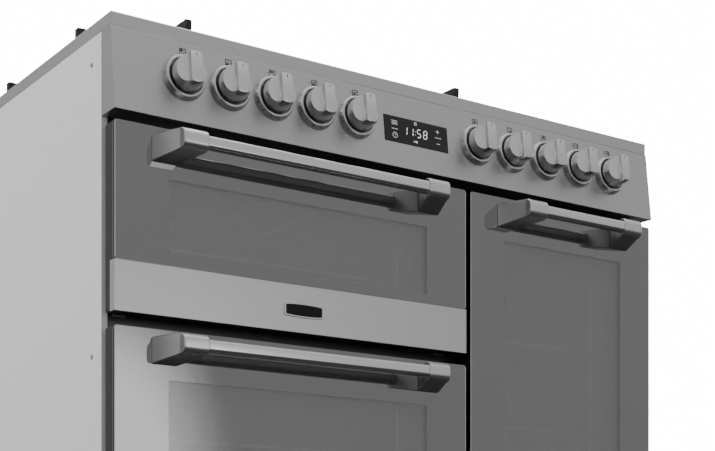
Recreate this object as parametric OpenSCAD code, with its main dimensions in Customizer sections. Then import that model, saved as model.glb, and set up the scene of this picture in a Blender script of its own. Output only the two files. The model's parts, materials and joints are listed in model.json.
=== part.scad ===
// Range cooker, 1000 mm wide, with a gas and electric hob and three ovens.
// Lengths are millimetres. X runs left to right, Y front to back, Z up from the floor.
// The pieces are written from the left end, the front edge of the hob and the floor,
// and place() moves them to the origin, the middle of the underside.

/* [Body] */
// Width over the side panels
body_w = 1000; // [980:1:1040]
// Depth of the hob, front edge to back edge
body_d = 600; // [590:1:640]
// Height of the hob's top face above the floor
body_h = 900; // [890:1:930]
// Thickness of the side, back and base sheets
sheet = 2; // [1.5:0.5:3]
// Height of the underside of the body above the floor
base_z = 100; // [90:1:110]
// Front edge of the side panels, behind the hob's front edge
side_front = 29; // [27:0.5:32]
// Space kept between the back panel and the hob's back edge
back_recess = 26; // [22:1:34]

/* [Hob] */
// Height of the hob's folded edge
hob_edge = 20; // [16:1:24]
// Radius along the hob's top edges
hob_bevel = 2.7; // [1.5:0.1:4]
// Depth of the pressed well that holds the burners
well_depth = 6; // [4:0.5:8]
// Distance between the columns of burners
burner_pitch = 240.5; // [238:0.5:250]
// Centre of the left column of burners from the left end
burner_first = 141; // [138:1:150]
// Height of the pan supports above the hob's top face
pan_height = 34; // [30:1:40]
// Width of the cast bars of the pan supports
bar_w = 9; // [7:0.5:11]
// Width of the ceramic hotplate
hotplate_w = 180; // [160:1:190]

/* [Control panel] */
// Height of the control panel
panel_h = 113.5; // [108:0.5:118]
// Lean of the panel's face from upright
panel_tilt = 6.65; // [4:0.05:9]
// Thickness of the panel's sheet
panel_sheet = 1.5; // [1:0.5:2.5]
// Centre of the first knob from the left end
knob_first = 105; // [100:1:108]
// Distance between neighbouring knobs
knob_pitch = 71.5; // [68:0.5:73]
// Distance from the fifth knob to the sixth
knob_break = 228; // [220:1:232]
// Distance of the knobs' centres down the panel's face
knob_drop = 52.5; // [50:0.5:58]
// Radius of a knob at its base
knob_r = 24.2; // [22:0.1:25]
// Radius of a knob at its face
knob_face_r = 21.6; // [20:0.1:22]
// Distance from the panel to a knob's face
knob_reach = 41; // [38:0.5:44]
// Width of the grip left between a knob's two scoops
grip_w = 17.6; // [14:0.1:19]
// Free travel of a gas knob when it is pushed
knob_push = 3.5; // [2:0.5:4]
// Width of the timer's glass
timer_w = 119.5; // [100:0.5:130]
// Height of the timer's glass
timer_h = 39.6; // [32:0.1:44]

/* [Doors] */
// Gap between the control panel and the doors
door_top_gap = 12.5; // [10:0.5:16]
// Distance of the doors' glass behind the hob's front edge, negative in front of it
door_face = -9; // [-12:0.5:-7]
// Thickness of the outer glass
glass_t = 5; // [4:0.5:6]
// Depth of the door frame behind the outer glass
door_body = 24; // [23:0.5:26]
// Space between a door's edge and the body's end
door_inset = 1.5; // [1:0.5:3]
// Width of the two left doors
left_door_w = 595; // [585:1:600]
// Gap between the left doors and the tall door
column_gap = 9.5; // [8:0.5:14]
// Height of the grill door with its band
grill_door_h = 254; // [248:1:260]
// Height of the steel band along the foot of the grill door
band_h = 68; // [50:1:76]
// Gap between the grill door and the main oven door
row_gap = 18.5; // [17:0.5:22]
// Gap between the doors and the underside of the body
door_foot_gap = 12; // [8:1:16]
// Radius of the doors' corners
door_corner = 3; // [2:0.5:5]
// Width of the frame round each door's window
door_rail = 68; // [62:1:72]
// Radius of the hinge pins
hinge_pin_r = 3; // [2.5:0.1:3.5]
// Distance of the drop-down doors' pins above their lower edge
drop_pin_up = 12; // [11:0.5:13]

/* [Handles] */
// Distance from a door's edge to its handle
handle_margin = 54; // [48:1:60]
// Distance of a handle's centre below the door's top edge
handle_drop = 25; // [22:0.5:32]
// Distance from the glass to the front of a handle
handle_reach = 57; // [52:1:62]
// Height of the handles' end brackets
bracket_h = 28; // [26:0.5:32]
// How far the end brackets' feet reach below their noses
foot_drop = 9; // [2:0.5:12]
// Height and depth of the handle bar
bar_size = 17; // [14:0.5:18]

/* [Ovens] */
// Width of the two left ovens
left_cavity_w = 440; // [400:1:450]
// Width of the tall oven
tall_cavity_w = 260; // [240:1:270]
// Depth of the ovens
cavity_d = 430; // [400:1:440]
// Height of the grill oven
grill_cavity_h = 160; // [150:1:165]
// Height of the main oven
main_cavity_h = 305; // [295:1:310]
// Height of the tall oven
tall_cavity_h = 580; // [570:1:585]
// Thickness of the oven linings
lining = 1.5; // [1:0.5:2]
// Radius of the shelves' outer wire
wire_r = 3; // [2.5:0.1:3.5]

/* [Hidden] */
$fn = 48;
// Overshoot of a cutting tool past the face that it cuts
over = 1;
// Clearance between pieces that only lie beside each other
clear = 0.3;
// Radial clearance of a pin or shaft that turns or slides in its hole
run_fit = 0.05;

hob_under_z = body_h - hob_edge;
well_z = body_h - well_depth;
hob_sheet = 2;
well_x = 16;
well_y = 38;
panel_bottom_z = hob_under_z - panel_h;
panel_foot_y = -panel_h * tan(panel_tilt);
knob_count = 5;
knob_xs = [for (i = [0 : 2 * knob_count - 1])
    knob_first + i * knob_pitch + (i < knob_count ? 0 : knob_break - knob_pitch)];
gas_knobs = [0, 1, 5, 6, 7];
oven_knobs = [2, 3, 4, 8, 9];
timer_x = knob_first + (knob_count - 1) * knob_pitch + knob_break / 2 - 2.75;
timer_drop = knob_drop + 3;

door_top_z = panel_bottom_z - door_top_gap;
grill_door_z = door_top_z - grill_door_h;
main_door_top_z = grill_door_z - row_gap;
door_foot_z = base_z + door_foot_gap;
glass_back = door_face + glass_t;
door_back = glass_back + door_body;
left_door_x = [door_inset, door_inset + left_door_w];
tall_door_x = [left_door_x[1] + column_gap, body_w - door_inset];
inner_glass_t = 4;
frame_front = side_front + sheet;
frame_back = frame_front + sheet;
back_y = body_d - back_recess;

// Pins of the drop-down doors lie this far behind the glass's face
drop_pin_y = door_face + 20;
tall_pin_inset = 14;
tall_pin_y = door_face + tall_pin_inset;
tall_pin_x = tall_door_x[1] - tall_pin_inset;
ear_r = hinge_pin_r + 2.5;
ear_t = 4;
notch_w = 10;
notch_room = 1.5;
ear_side = 24;

left_cavity_x = (left_door_x[0] + left_door_x[1] - left_cavity_w) / 2;
tall_cavity_x = (tall_door_x[0] + tall_door_x[1] - tall_cavity_w) / 2;
cavity_foot_z = door_foot_z + 33;
grill_cavity_z = grill_door_z + 62;
cavity_back = frame_back + cavity_d;
shelf_play = 5.5 + wire_r;
grill_shelf_zs = [grill_cavity_z + 45];
main_shelf_zs = [cavity_foot_z + 90, cavity_foot_z + 195];
tall_shelf_zs = [cavity_foot_z + 115, cavity_foot_z + 255, cavity_foot_z + 395];
cover_depth = 34;
fan_r = 62;
main_fan_z = cavity_foot_z + main_cavity_h / 2;
tall_fan_z = cavity_foot_z + tall_cavity_h * 0.55;
left_fan_x = left_cavity_x + left_cavity_w / 2;
tall_fan_x = tall_cavity_x + tall_cavity_w / 2;
shaft_r = 4;

front_burner_y = 165;
rear_burner_y = 430;
middle_burner_y = 297;
burner_xs = [for (i = [0 : 2]) burner_first + i * burner_pitch];
// Each burner: centre x, centre y, radius of its crown
burners = [
    [burner_xs[0], rear_burner_y, 46],
    [burner_xs[0], front_burner_y, 36],
    [burner_xs[1], middle_burner_y, 62],
    [burner_xs[2], front_burner_y, 27],
    [burner_xs[2], rear_burner_y, 36]];
crown_h = 10;
cap_h = 7;
cup_depth = 36;
support_w = burner_pitch - 5;
support_y = [50, 548];
frame_rise = 12;
well_w = burner_xs[2] + burner_pitch / 2 - 12;
hotplate_x = burner_xs[2] + burner_pitch / 2 + 26;
hotplate_y = [80, 520];
hotplate_t = 4;
tap_r = 11;
plug_r = 6;
spindle_r = 4;
rail_depth = 66;
rail_r = 9;
tube_r = 4;
tube_z = hob_under_z - 34;
spindle_end = 26;
terminal_x = body_w - 190;
terminal_z = 640;
inlet_x = 60;
inlet_r = 10.48;
inlet_z = hob_under_z - 50;
foot_inset = 60;

// The body stands with its middle over the origin; the handles reach past the hob's front edge
handle_front = door_face - handle_reach;
front_y = -(body_d + handle_front) / 2;

STEEL = [0.72, 0.72, 0.71];
DARK = [0.10, 0.10, 0.11];
GLASS = [0.16, 0.16, 0.17];
IRON = [0.13, 0.13, 0.13];
ENAMEL = [0.17, 0.18, 0.20];
CAST = [0.78, 0.78, 0.77];
BRASS = [0.76, 0.62, 0.30];
ZINC = [0.62, 0.63, 0.64];

// Moves what is written from the left end and the front edge to the origin
module place() {
    translate([-body_w / 2, front_y, 0]) children();
}

// A box from its lowest corner to its highest
module block(low, high) {
    translate(low) cube(high - low);
}

module rod_x(x0, x1, y, z, r) {
    translate([x0, y, z]) rotate([0, 90, 0]) cylinder(h = x1 - x0, r = r);
}

module rod_y(x, y0, y1, z, r) {
    translate([x, y0, z]) rotate([-90, 0, 0]) cylinder(h = y1 - y0, r = r);
}

module rod_z(x, y, z0, z1, r) {
    translate([x, y, z0]) cylinder(h = z1 - z0, r = r);
}

// A rectangle from the origin with four round corners
module rounded_rect(w, h, r) {
    translate([r, 0]) square([w - 2 * r, h]);
    translate([0, r]) square([w, h - 2 * r]);
    for (x = [r, w - r], y = [r, h - r]) translate([x, y]) circle(r = r);
}

// A rectangle whose two upper corners are round
module round_topped(w, h, r) {
    square([w, h - r]);
    translate([r, 0]) square([w - 2 * r, h]);
    for (x = [r, w - r]) translate([x, h - r]) circle(r = r);
}

// An upright plate across the front, with round corners
module upright_plate(x, y, z, r) {
    translate([x[0], y[1], z[0]]) rotate([90, 0, 0])
        linear_extrude(y[1] - y[0]) rounded_rect(x[1] - x[0], z[1] - z[0], r);
}

// Stands on the control panel's face: Z points out of it, Y up along it
module at_panel(x, drop) {
    translate([x, -drop * sin(panel_tilt), hob_under_z - drop * cos(panel_tilt)])
        rotate([90 - panel_tilt, 0, 0]) children();
}

module hob_top() {
    color(STEEL) place() difference() {
        intersection() {
            translate([0, 0, hob_under_z]) linear_extrude(hob_edge)
                rounded_rect(body_w, body_d, hob_bevel);
            translate([0, body_d, hob_under_z]) rotate([90, 0, 0])
                linear_extrude(body_d) round_topped(body_w, hob_edge, hob_bevel);
            translate([0, 0, hob_under_z]) rotate([90, 0, 90])
                linear_extrude(body_w) round_topped(body_d, hob_edge, hob_bevel);
        }
        difference() {
            block([hob_sheet, hob_sheet, hob_under_z - over],
                [body_w - hob_sheet, body_d - hob_sheet, body_h - hob_sheet]);
            translate([well_x - hob_sheet, well_y - hob_sheet, well_z - hob_sheet]) linear_extrude(hob_edge)
                rounded_rect(well_w + 2 * hob_sheet, body_d - 2 * well_y + 2 * hob_sheet, 12 + hob_sheet);
            block([hotplate_x - hob_sheet, hotplate_y[0] - hob_sheet, body_h - hotplate_t - hob_sheet],
                [hotplate_x + hotplate_w + hob_sheet, hotplate_y[1] + hob_sheet, body_h]);
        }
        translate([well_x, well_y, well_z]) linear_extrude(hob_edge)
            rounded_rect(well_w, body_d - 2 * well_y, 12);
        for (b = burners) rod_z(b[0], b[1], hob_under_z - over, body_h, b[2] - 4);
        block([hotplate_x, hotplate_y[0], body_h - hotplate_t],
            [hotplate_x + hotplate_w, hotplate_y[1], body_h + over]);
        block([hotplate_x + 8, hotplate_y[0] + 8, hob_under_z - over],
            [hotplate_x + hotplate_w - 8, hotplate_y[1] - 8, body_h + over]);
    }
}

module hotplate_glass() {
    color(GLASS) place() translate([hotplate_x + clear, hotplate_y[0] + clear, body_h - hotplate_t])
        linear_extrude(hotplate_t) square([hotplate_w - 2 * clear, hotplate_y[1] - hotplate_y[0] - 2 * clear]);
}

module panel_section(inset) {
    foot = panel_foot_y + inset / cos(panel_tilt) + inset * tan(panel_tilt);
    head = inset / cos(panel_tilt) - inset * tan(panel_tilt);
    polygon([[head, hob_under_z - inset], [foot, panel_bottom_z + inset],
        [side_front + (inset > 0 ? over : 0), panel_bottom_z + inset],
        [side_front + (inset > 0 ? over : 0), hob_under_z - inset]]);
}

module control_panel() {
    color(STEEL) place() difference() {
        rotate([90, 0, 90]) linear_extrude(body_w) panel_section(0);
        translate([panel_sheet, 0, 0]) rotate([90, 0, 90])
            linear_extrude(body_w - 2 * panel_sheet) panel_section(panel_sheet);
        for (x = knob_xs) at_panel(x, knob_drop)
            translate([0, 0, -3 * panel_sheet]) cylinder(h = 4 * panel_sheet, r = spindle_r + 2);
        at_panel(timer_x, timer_drop)
            translate([-timer_w / 2 - clear, -timer_h / 2 - clear, -3 * panel_sheet])
                cube([timer_w + 2 * clear, timer_h + 2 * clear, 4 * panel_sheet]);
    }
}

module knob_bezels() {
    color(CAST) place() for (x = knob_xs) at_panel(x, knob_drop) difference() {
        cylinder(h = 10, r1 = knob_r + 7.8, r2 = knob_r + 5.3);
        translate([0, 0, -over]) cylinder(h = 10 + 2 * over, r = knob_r + 1.8);
    }
}

module timer_display() {
    color(GLASS) place() at_panel(timer_x, timer_drop) {
        translate([-timer_w / 2, -timer_h / 2, -2.2]) cube([timer_w, timer_h, 2.8]);
        translate([-timer_w / 2 + 6, -timer_h / 2 + 4, -20]) cube([timer_w - 12, timer_h - 8, 17.8]);
    }
}

module side_panels() {
    color(STEEL) place() for (side = [0, 1]) translate([side * body_w, 0, 0]) mirror([side, 0, 0]) {
        block([0, side_front, base_z], [sheet, back_y + sheet, hob_under_z]);
        block([0, side_front, base_z], [9, frame_front, panel_bottom_z]);
    }
}

module back_panel() {
    box_x = [terminal_x, terminal_x + 130];
    box_y = [back_y + sheet, body_d - 4];
    box_z = [terminal_z, terminal_z + 80];
    gland_x = terminal_x + 65;
    gland_y = (box_y[0] + box_y[1]) / 2;
    color(ZINC) place() difference() {
        union() {
            block([sheet, back_y, base_z + sheet], [body_w - sheet, back_y + sheet, hob_under_z]);
            block([box_x[0], box_y[0], box_z[0]], [box_x[1], box_y[1], box_z[1]]);
            rod_z(gland_x, gland_y, box_z[0] - 12, box_z[0] + over, 9.5);
        }
        block([box_x[0] + sheet, box_y[0] - over, box_z[0] + sheet],
            [box_x[1] - sheet, box_y[1] - sheet, box_z[1] - sheet]);
        rod_z(gland_x, gland_y, box_z[0] - 12 - over, box_z[0] + sheet + over, 7);
        block([box_x[0] + 20, back_y - over, box_z[0] + 15], [box_x[1] - 20, back_y + sheet + over, box_z[1] - 15]);
        rod_y(inlet_x, back_y - over, back_y + sheet + over, inlet_z, inlet_r + 4);
        for (x = [body_w / 2 - 150, body_w / 2 + 150])
            rod_y(x, back_y - over, back_y + sheet + over, hob_under_z - 30, 3);
        for (x = [300 : 25 : 700], z = [base_z + 80, base_z + 620])
            block([x, back_y - over, z], [x + 10, back_y + sheet + over, z + 45]);
    }
}

module base_pan() {
    color(ZINC) place() difference() {
        union() {
            block([sheet, frame_front, base_z], [body_w - sheet, back_y + sheet, base_z + sheet]);
            for (x = [foot_inset, body_w - foot_inset], y = [frame_front + 45, back_y - 45])
                rod_z(x, y, base_z + sheet - 0.5, base_z + 18, 13);
        }
        for (x = [foot_inset, body_w - foot_inset], y = [frame_front + 45, back_y - 45])
            rod_z(x, y, base_z - over, base_z + 18 + over, 5 + clear);
        for (x = [180 : 40 : 820]) block([x, 200, base_z - over], [x + 12, 330, base_z + sheet + over]);
    }
}

module levelling_feet() {
    color(ZINC) place() for (x = [foot_inset, body_w - foot_inset], y = [frame_front + 45, back_y - 45]) {
        rod_z(x, y, 0, 6, 20);
        translate([x, y, 6]) cylinder(h = 10, r1 = 20, r2 = 9);
        rod_z(x, y, 15, base_z - 6, 9);
        rod_z(x, y, base_z - 8, base_z, 12);
        rod_z(x, y, base_z - 1, base_z + 32, 5);
    }
}

module plinth() {
    color(STEEL) place() {
        block([10, side_front + 8, 22], [body_w - 10, side_front + 8 + sheet, base_z]);
        for (x = [10, body_w - 10 - sheet])
            block([x, side_front + 8, 22], [x + sheet, side_front + 40, base_z]);
        block([10, side_front + 8, 22], [body_w - 10, side_front + 22, 22 + sheet]);
    }
}

module front_frame() {
    color(DARK) place() difference() {
        block([sheet, frame_front, base_z + sheet], [body_w - sheet, frame_back, panel_bottom_z - 2]);
        block([left_cavity_x, frame_front - over, cavity_foot_z],
            [left_cavity_x + left_cavity_w, frame_back + over, cavity_foot_z + main_cavity_h]);
        block([left_cavity_x, frame_front - over, grill_cavity_z],
            [left_cavity_x + left_cavity_w, frame_back + over, grill_cavity_z + grill_cavity_h]);
        block([tall_cavity_x, frame_front - over, cavity_foot_z],
            [tall_cavity_x + tall_cavity_w, frame_back + over, cavity_foot_z + tall_cavity_h]);
    }
}

// An ear that reaches forward from the frame to a drop-down door's pin
module drop_ear(x, z) {
    difference() {
        union() {
            block([x - ear_t / 2, drop_pin_y, z - ear_r], [x + ear_t / 2, frame_front, z + ear_r]);
            rod_x(x - ear_t / 2, x + ear_t / 2, drop_pin_y, z, ear_r);
            block([x - 9, frame_front - sheet, z - 12], [x + 9, frame_front, z + 20]);
        }
        rod_x(x - ear_t, x + ear_t, drop_pin_y, z, hinge_pin_r + run_fit);
    }
}

// An ear that reaches forward from the frame to the tall door's pin
module tall_ear(z) {
    difference() {
        union() {
            block([tall_pin_x - ear_r, tall_pin_y, z - ear_t / 2], [tall_pin_x + ear_r, frame_front, z + ear_t / 2]);
            rod_z(tall_pin_x, tall_pin_y, z - ear_t / 2, z + ear_t / 2, ear_r);
            block([tall_pin_x - 18, frame_front - sheet, z - 9], [tall_pin_x + ear_r, frame_front, z + 9]);
        }
        rod_z(tall_pin_x, tall_pin_y, z - ear_t, z + ear_t, hinge_pin_r + run_fit);
    }
}

module hinge_brackets() {
    color(ZINC) place() {
        for (x = [left_door_x[0] + ear_side, left_door_x[1] - ear_side], z = [grill_door_z, door_foot_z])
            drop_ear(x, z + drop_pin_up);
        for (z = [door_foot_z + ear_side, door_top_z - ear_side]) tall_ear(z);
    }
}

// A door's steel frame with a window and a rebate for the inner glass
module door_frame(x, z, foot_rail) {
    window_x = [x[0] + door_rail, x[1] - door_rail];
    window_z = [z[0] + foot_rail, z[1] - door_rail];
    difference() {
        upright_plate([x[0] + 0.5, x[1] - 0.5], [glass_back, door_back], [z[0] + 0.5, z[1] - 0.5], door_corner);
        block([window_x[0], glass_back - over, window_z[0]], [window_x[1], door_back + over, window_z[1]]);
        block([window_x[0] - 12, door_back - inner_glass_t, window_z[0] - 12],
            [window_x[1] + 12, door_back + over, window_z[1] + 12]);
        door_hollows(x, z, foot_rail);
        children();
    }
}

// The hollows in a door frame's rails and stiles; its corners stay solid for the hinges
module door_hollows(x, z, foot_rail) {
    skin = 2.5;
    corner = 46;
    hollow_y = [glass_back - over, door_back - inner_glass_t - 2];
    for (span = [[z[0] + skin, z[0] + foot_rail - sheet], [z[1] - door_rail + sheet, z[1] - skin]])
        block([x[0] + corner, hollow_y[0], span[0]], [x[1] - corner, hollow_y[1], span[1]]);
    for (span = [[x[0] + skin, x[0] + door_rail - sheet], [x[1] - door_rail + sheet, x[1] - skin]])
        block([span[0], hollow_y[0], z[0] + corner], [span[1], hollow_y[1], z[1] - corner]);
}

module inner_glass(x, z, foot_rail) {
    block([x[0] + door_rail - 12 + clear, door_back - inner_glass_t, z[0] + foot_rail - 12 + clear],
        [x[1] - door_rail + 12 - clear, door_back, z[1] - door_rail + 12 - clear]);
}

// The slot in a drop-down door's foot that lets its hinge ear pass
module drop_notch(x, door_z) {
    block([x - notch_w / 2, drop_pin_y - ear_r - notch_room, door_z - over],
        [x + notch_w / 2, door_back + over, door_z + drop_pin_up + ear_r + notch_room]);
}

module drop_door_frame(z, foot_rail) {
    ear_xs = [left_door_x[0] + ear_side, left_door_x[1] - ear_side];
    door_frame(left_door_x, z, foot_rail) for (x = ear_xs) drop_notch(x, z[0]);
    for (x = ear_xs)
        rod_x(x - notch_w / 2 - over, x + notch_w / 2 + over, drop_pin_y, z[0] + drop_pin_up, hinge_pin_r);
}

grill_z = [grill_door_z, door_top_z];
main_z = [door_foot_z, main_door_top_z];
tall_z = [door_foot_z, door_top_z];
grill_foot_rail = band_h + 12;

module grill_door_frame() {
    color(DARK) place() drop_door_frame(grill_z, grill_foot_rail);
}

module main_door_frame() {
    color(DARK) place() drop_door_frame(main_z, door_rail);
}

module tall_door_frame() {
    ear_zs = [door_foot_z + ear_side, door_top_z - ear_side];
    color(DARK) place() {
        door_frame(tall_door_x, tall_z, door_rail) for (z = ear_zs)
            block([tall_pin_x - ear_r - notch_room, glass_back, z - notch_w / 2],
                [tall_door_x[1] + over, door_back + over, z + notch_w / 2]);
        for (z = ear_zs)
            rod_z(tall_pin_x, tall_pin_y, z - notch_w / 2 - over, z + notch_w / 2 + over, hinge_pin_r);
    }
}

module grill_door_glass() {
    color(GLASS) place()
        upright_plate(left_door_x, [door_face, glass_back], [grill_door_z + band_h, door_top_z], door_corner);
}

module main_door_glass() {
    color(GLASS) place() upright_plate(left_door_x, [door_face, glass_back], main_z, door_corner);
}

module tall_door_glass() {
    color(GLASS) place() upright_plate(tall_door_x, [door_face, glass_back], tall_z, door_corner);
}

module grill_door_inner_glass() {
    color(GLASS) place() inner_glass(left_door_x, grill_z, grill_foot_rail);
}

module main_door_inner_glass() {
    color(GLASS) place() inner_glass(left_door_x, main_z, door_rail);
}

module tall_door_inner_glass() {
    color(GLASS) place() inner_glass(tall_door_x, tall_z, door_rail);
}

// The steel band turns back round both sides of the door frame
module grill_door_band() {
    color(STEEL) place() difference() {
        block([left_door_x[0] - 0.7, door_face - 0.5, grill_door_z],
            [left_door_x[1] + 0.7, glass_back + 8, grill_door_z + band_h]);
        block([left_door_x[0] + 0.5, glass_back, grill_door_z - over],
            [left_door_x[1] - 0.5, glass_back + 8 + over, grill_door_z + band_h + over]);
    }
}

// Side view of a handle's end bracket: flat behind, round in front, deeper at the door
module bracket_section() {
    nose = 10;
    flat = bracket_h / 2 - nose;
    polygon([[0, -bracket_h / 2 - foot_drop], [handle_reach - nose, -bracket_h / 2],
        [handle_reach - nose, bracket_h / 2], [0, bracket_h / 2]]);
    translate([0, -flat]) square([handle_reach, 2 * flat]);
    for (z = [-flat, flat]) translate([handle_reach - nose, z]) circle(r = nose);
}

// The handle bar's section, with its front at y = 0
module bar_section(grow) {
    translate([-grow, -bar_size / 2 - grow]) rounded_rect(bar_size + 2 * grow, bar_size + 2 * grow, 5 + grow);
}

bar_gap = 2;
foot_w = 38;
nose_w = 35;
skew = 23;
socket = 9;

module bar(x0, x1, z, grow) {
    translate([x0, handle_front + bar_gap, z]) rotate([90, 0, 90])
        linear_extrude(x1 - x0) bar_section(grow);
}

// The left bracket of a handle; its nose stands further in than its foot
module bracket(x, z) {
    difference() {
        intersection() {
            translate([x, 0, z - bracket_h]) linear_extrude(2 * bracket_h)
                polygon([[0, door_face], [foot_w, door_face], [skew + nose_w, handle_front + 10],
                    [skew + nose_w, handle_front - over], [skew, handle_front - over], [skew - 4, handle_front + 10]]);
            translate([x - over, door_face, z]) mirror([0, 1, 0]) rotate([90, 0, 90])
                linear_extrude(foot_w + skew + nose_w) bracket_section();
        }
        bar(x + skew + nose_w - socket, x + skew + nose_w + over, z, clear / 2);
    }
}

module brackets(x, top_z) {
    z = top_z - handle_drop;
    bracket(x[0] + handle_margin, z);
    translate([x[0] + x[1], 0, 0]) mirror([1, 0, 0]) bracket(x[0] + handle_margin, z);
}

module handle_bar(x, top_z) {
    end = handle_margin + skew + nose_w - socket + clear;
    bar(x[0] + end, x[1] - end, top_z - handle_drop, 0);
}

module grill_door_brackets() {
    color(CAST) place() brackets(left_door_x, door_top_z);
}

module main_door_brackets() {
    color(CAST) place() brackets(left_door_x, main_door_top_z);
}

module tall_door_brackets() {
    color(CAST) place() brackets(tall_door_x, door_top_z);
}

module grill_door_handle() {
    color(STEEL) place() handle_bar(left_door_x, door_top_z);
}

module main_door_handle() {
    color(STEEL) place() handle_bar(left_door_x, main_door_top_z);
}

module tall_door_handle() {
    color(STEEL) place() handle_bar(tall_door_x, door_top_z);
}

// A knob: a tapered drum with a scoop on each side, and a socket for its spindle
module knob(socket_r) {
    seat = 6;
    scoop_r = 16;
    difference() {
        translate([0, 0, seat]) cylinder(h = knob_reach - seat, r1 = knob_r, r2 = knob_face_r);
        for (side = [-1, 1]) translate([side * (grip_w / 2 + scoop_r), 0, knob_reach])
            rotate([90, 0, 0]) cylinder(h = 4 * knob_r, r = scoop_r, center = true);
        translate([0, 0, seat - over]) cylinder(h = spindle_end + knob_push + 1.5 - seat + over, r = socket_r);
        translate([0, 0, seat - over]) difference() {
            cylinder(h = 8, r = knob_r - 3);
            cylinder(h = 8, r = spindle_r + 3);
        }
    }
}

module gas_knob(i) {
    color(CAST) place() at_panel(knob_xs[i], knob_drop) knob(spindle_r + run_fit);
}

// An oven knob carries its own spindle down into its switch
module oven_knob(i) {
    color(CAST) place() at_panel(knob_xs[i], knob_drop) {
        knob(spindle_r);
        translate([0, 0, -34]) cylinder(h = 34 + spindle_end + knob_push + 1.5, r = spindle_r);
    }
}

module knob_rear_left() { gas_knob(0); }
module knob_front_left() { gas_knob(1); }
module knob_grill() { oven_knob(2); }
module knob_main_oven_function() { oven_knob(3); }
module knob_main_oven_heat() { oven_knob(4); }
module knob_wok() { gas_knob(5); }
module knob_front_right() { gas_knob(6); }
module knob_rear_right() { gas_knob(7); }
module knob_hotplate() { oven_knob(8); }
module knob_tall_oven() { oven_knob(9); }

// The turning plug of a gas tap, with the spindle that its knob slides on
module tap_plug(i) {
    color(BRASS) place() at_panel(knob_xs[i], knob_drop) {
        translate([0, 0, -50]) cylinder(h = 32, r = plug_r);
        translate([0, 0, -19]) cylinder(h = 19 + spindle_end, r = spindle_r);
    }
}

module tap_plug_rear_left() { tap_plug(0); }
module tap_plug_front_left() { tap_plug(1); }
module tap_plug_wok() { tap_plug(5); }
module tap_plug_front_right() { tap_plug(6); }
module tap_plug_rear_right() { tap_plug(7); }

// Five gas taps and five oven switches, behind the control panel
module control_valves() {
    color(BRASS) place() {
        for (i = gas_knobs) at_panel(knob_xs[i], knob_drop) difference() {
            translate([0, 0, rail_r - rail_depth]) cylinder(h = 37, r = tap_r);
            translate([0, 0, -51]) cylinder(h = 31 + over, r = plug_r + run_fit);
        }
        for (i = oven_knobs) at_panel(knob_xs[i], knob_drop) difference() {
            union() {
                translate([-20, -20, -54]) cube([40, 40, 28]);
                translate([0, 0, -27]) cylinder(h = 27 - panel_sheet, r = spindle_r + 4);
            }
            translate([0, 0, -35]) cylinder(h = 35, r = spindle_r + run_fit);
        }
    }
}

rail_y = -knob_drop * sin(panel_tilt) + rail_depth * cos(panel_tilt);
rail_z = hob_under_z - knob_drop * cos(panel_tilt) - rail_depth * sin(panel_tilt);

// Each gas knob, the burner that it feeds and the x where its tube runs back
fed_by = [[0, 0, knob_xs[0]], [1, 1, knob_xs[1]], [5, 2, burner_xs[1] + 118], [6, 3, knob_xs[6]], [7, 4, knob_xs[7]]];

// The gas rail, its inlet at the back and a tube to each burner
module gas_pipes() {
    color(ZINC) place() {
        rod_x(inlet_x - 20, knob_xs[7] + 20, rail_y, rail_z, rail_r);
        rod_z(inlet_x, rail_y + 24, rail_z, inlet_z, 8);
        rod_y(inlet_x, rail_y, rail_y + 24, rail_z, 8);
        translate([inlet_x, rail_y + 24, rail_z]) sphere(r = 8.6);
        translate([inlet_x, rail_y + 24, inlet_z]) sphere(r = 8.6);
        rod_y(inlet_x, rail_y + 24, back_y + sheet + 2, inlet_z, 8);
        rod_y(inlet_x, back_y + sheet, body_d - 2, inlet_z, inlet_r);
        for (pair = fed_by) {
            x = knob_xs[pair[0]];
            b = burners[pair[1]];
            out_y = rail_y + 2;
            rod_z(x, out_y, rail_z, tube_z, tube_r);
            translate([x, out_y, tube_z]) sphere(r = tube_r + 0.6);
            rod_x(min(x, pair[2]), max(x, pair[2]), out_y, tube_z, tube_r);
            translate([pair[2], out_y, tube_z]) sphere(r = tube_r + 0.6);
            rod_y(pair[2], out_y, b[1], tube_z, tube_r);
            translate([pair[2], b[1], tube_z]) sphere(r = tube_r + 0.6);
            rod_x(min(pair[2], b[0]), max(pair[2], b[0]), b[1], tube_z, tube_r);
            translate([b[0], b[1], tube_z]) sphere(r = tube_r + 0.6);
            rod_z(b[0], b[1], tube_z, well_z - cup_depth, tube_r);
        }
    }
}

module burner_bodies() {
    color(ZINC) place() for (b = burners) translate([b[0], b[1], well_z]) difference() {
        union() {
            translate([0, 0, -cup_depth]) cylinder(h = cup_depth + 1, r = b[2] - 6);
            cylinder(h = 3, r = b[2] + 4);
            cylinder(h = 3 + crown_h, r = b[2] - 1);
        }
        translate([0, 0, -cup_depth + 3]) cylinder(h = cup_depth + crown_h + over, r = b[2] - 9);
        for (a = [0 : 15 : 345]) rotate([0, 0, a])
            translate([b[2] - 10, -1.2, 6]) cube([12, 2.4, crown_h]);
    }
}

module burner_caps() {
    color(IRON) place() for (b = burners) translate([b[0], b[1], well_z + 3 + crown_h]) {
        cylinder(h = cap_h - 2.5, r = b[2]);
        translate([0, 0, cap_h - 2.5]) cylinder(h = 2.5, r1 = b[2], r2 = b[2] - 3);
        translate([0, 0, -6]) cylinder(h = 6.5, r = b[2] - 9 - clear);
    }
}

// One finger of a pan support, along +Y from the frame: it rises to the pans and tapers to its tip
module finger(length, lead) {
    low = 4;
    translate([bar_w / 2, 0, body_h]) rotate([0, -90, 0]) linear_extrude(bar_w)
        polygon([[low, 0], [lead < 0 ? low + frame_rise : pan_height - 8, max(0, lead) * -1],
            [pan_height - 1, -lead], [pan_height, 1 - lead],
            [pan_height, length - 1], [pan_height - 1, length], [pan_height - 10, length],
            [pan_height - 16, length / 3], [low, length / 5 + bar_w]]);
}

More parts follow.
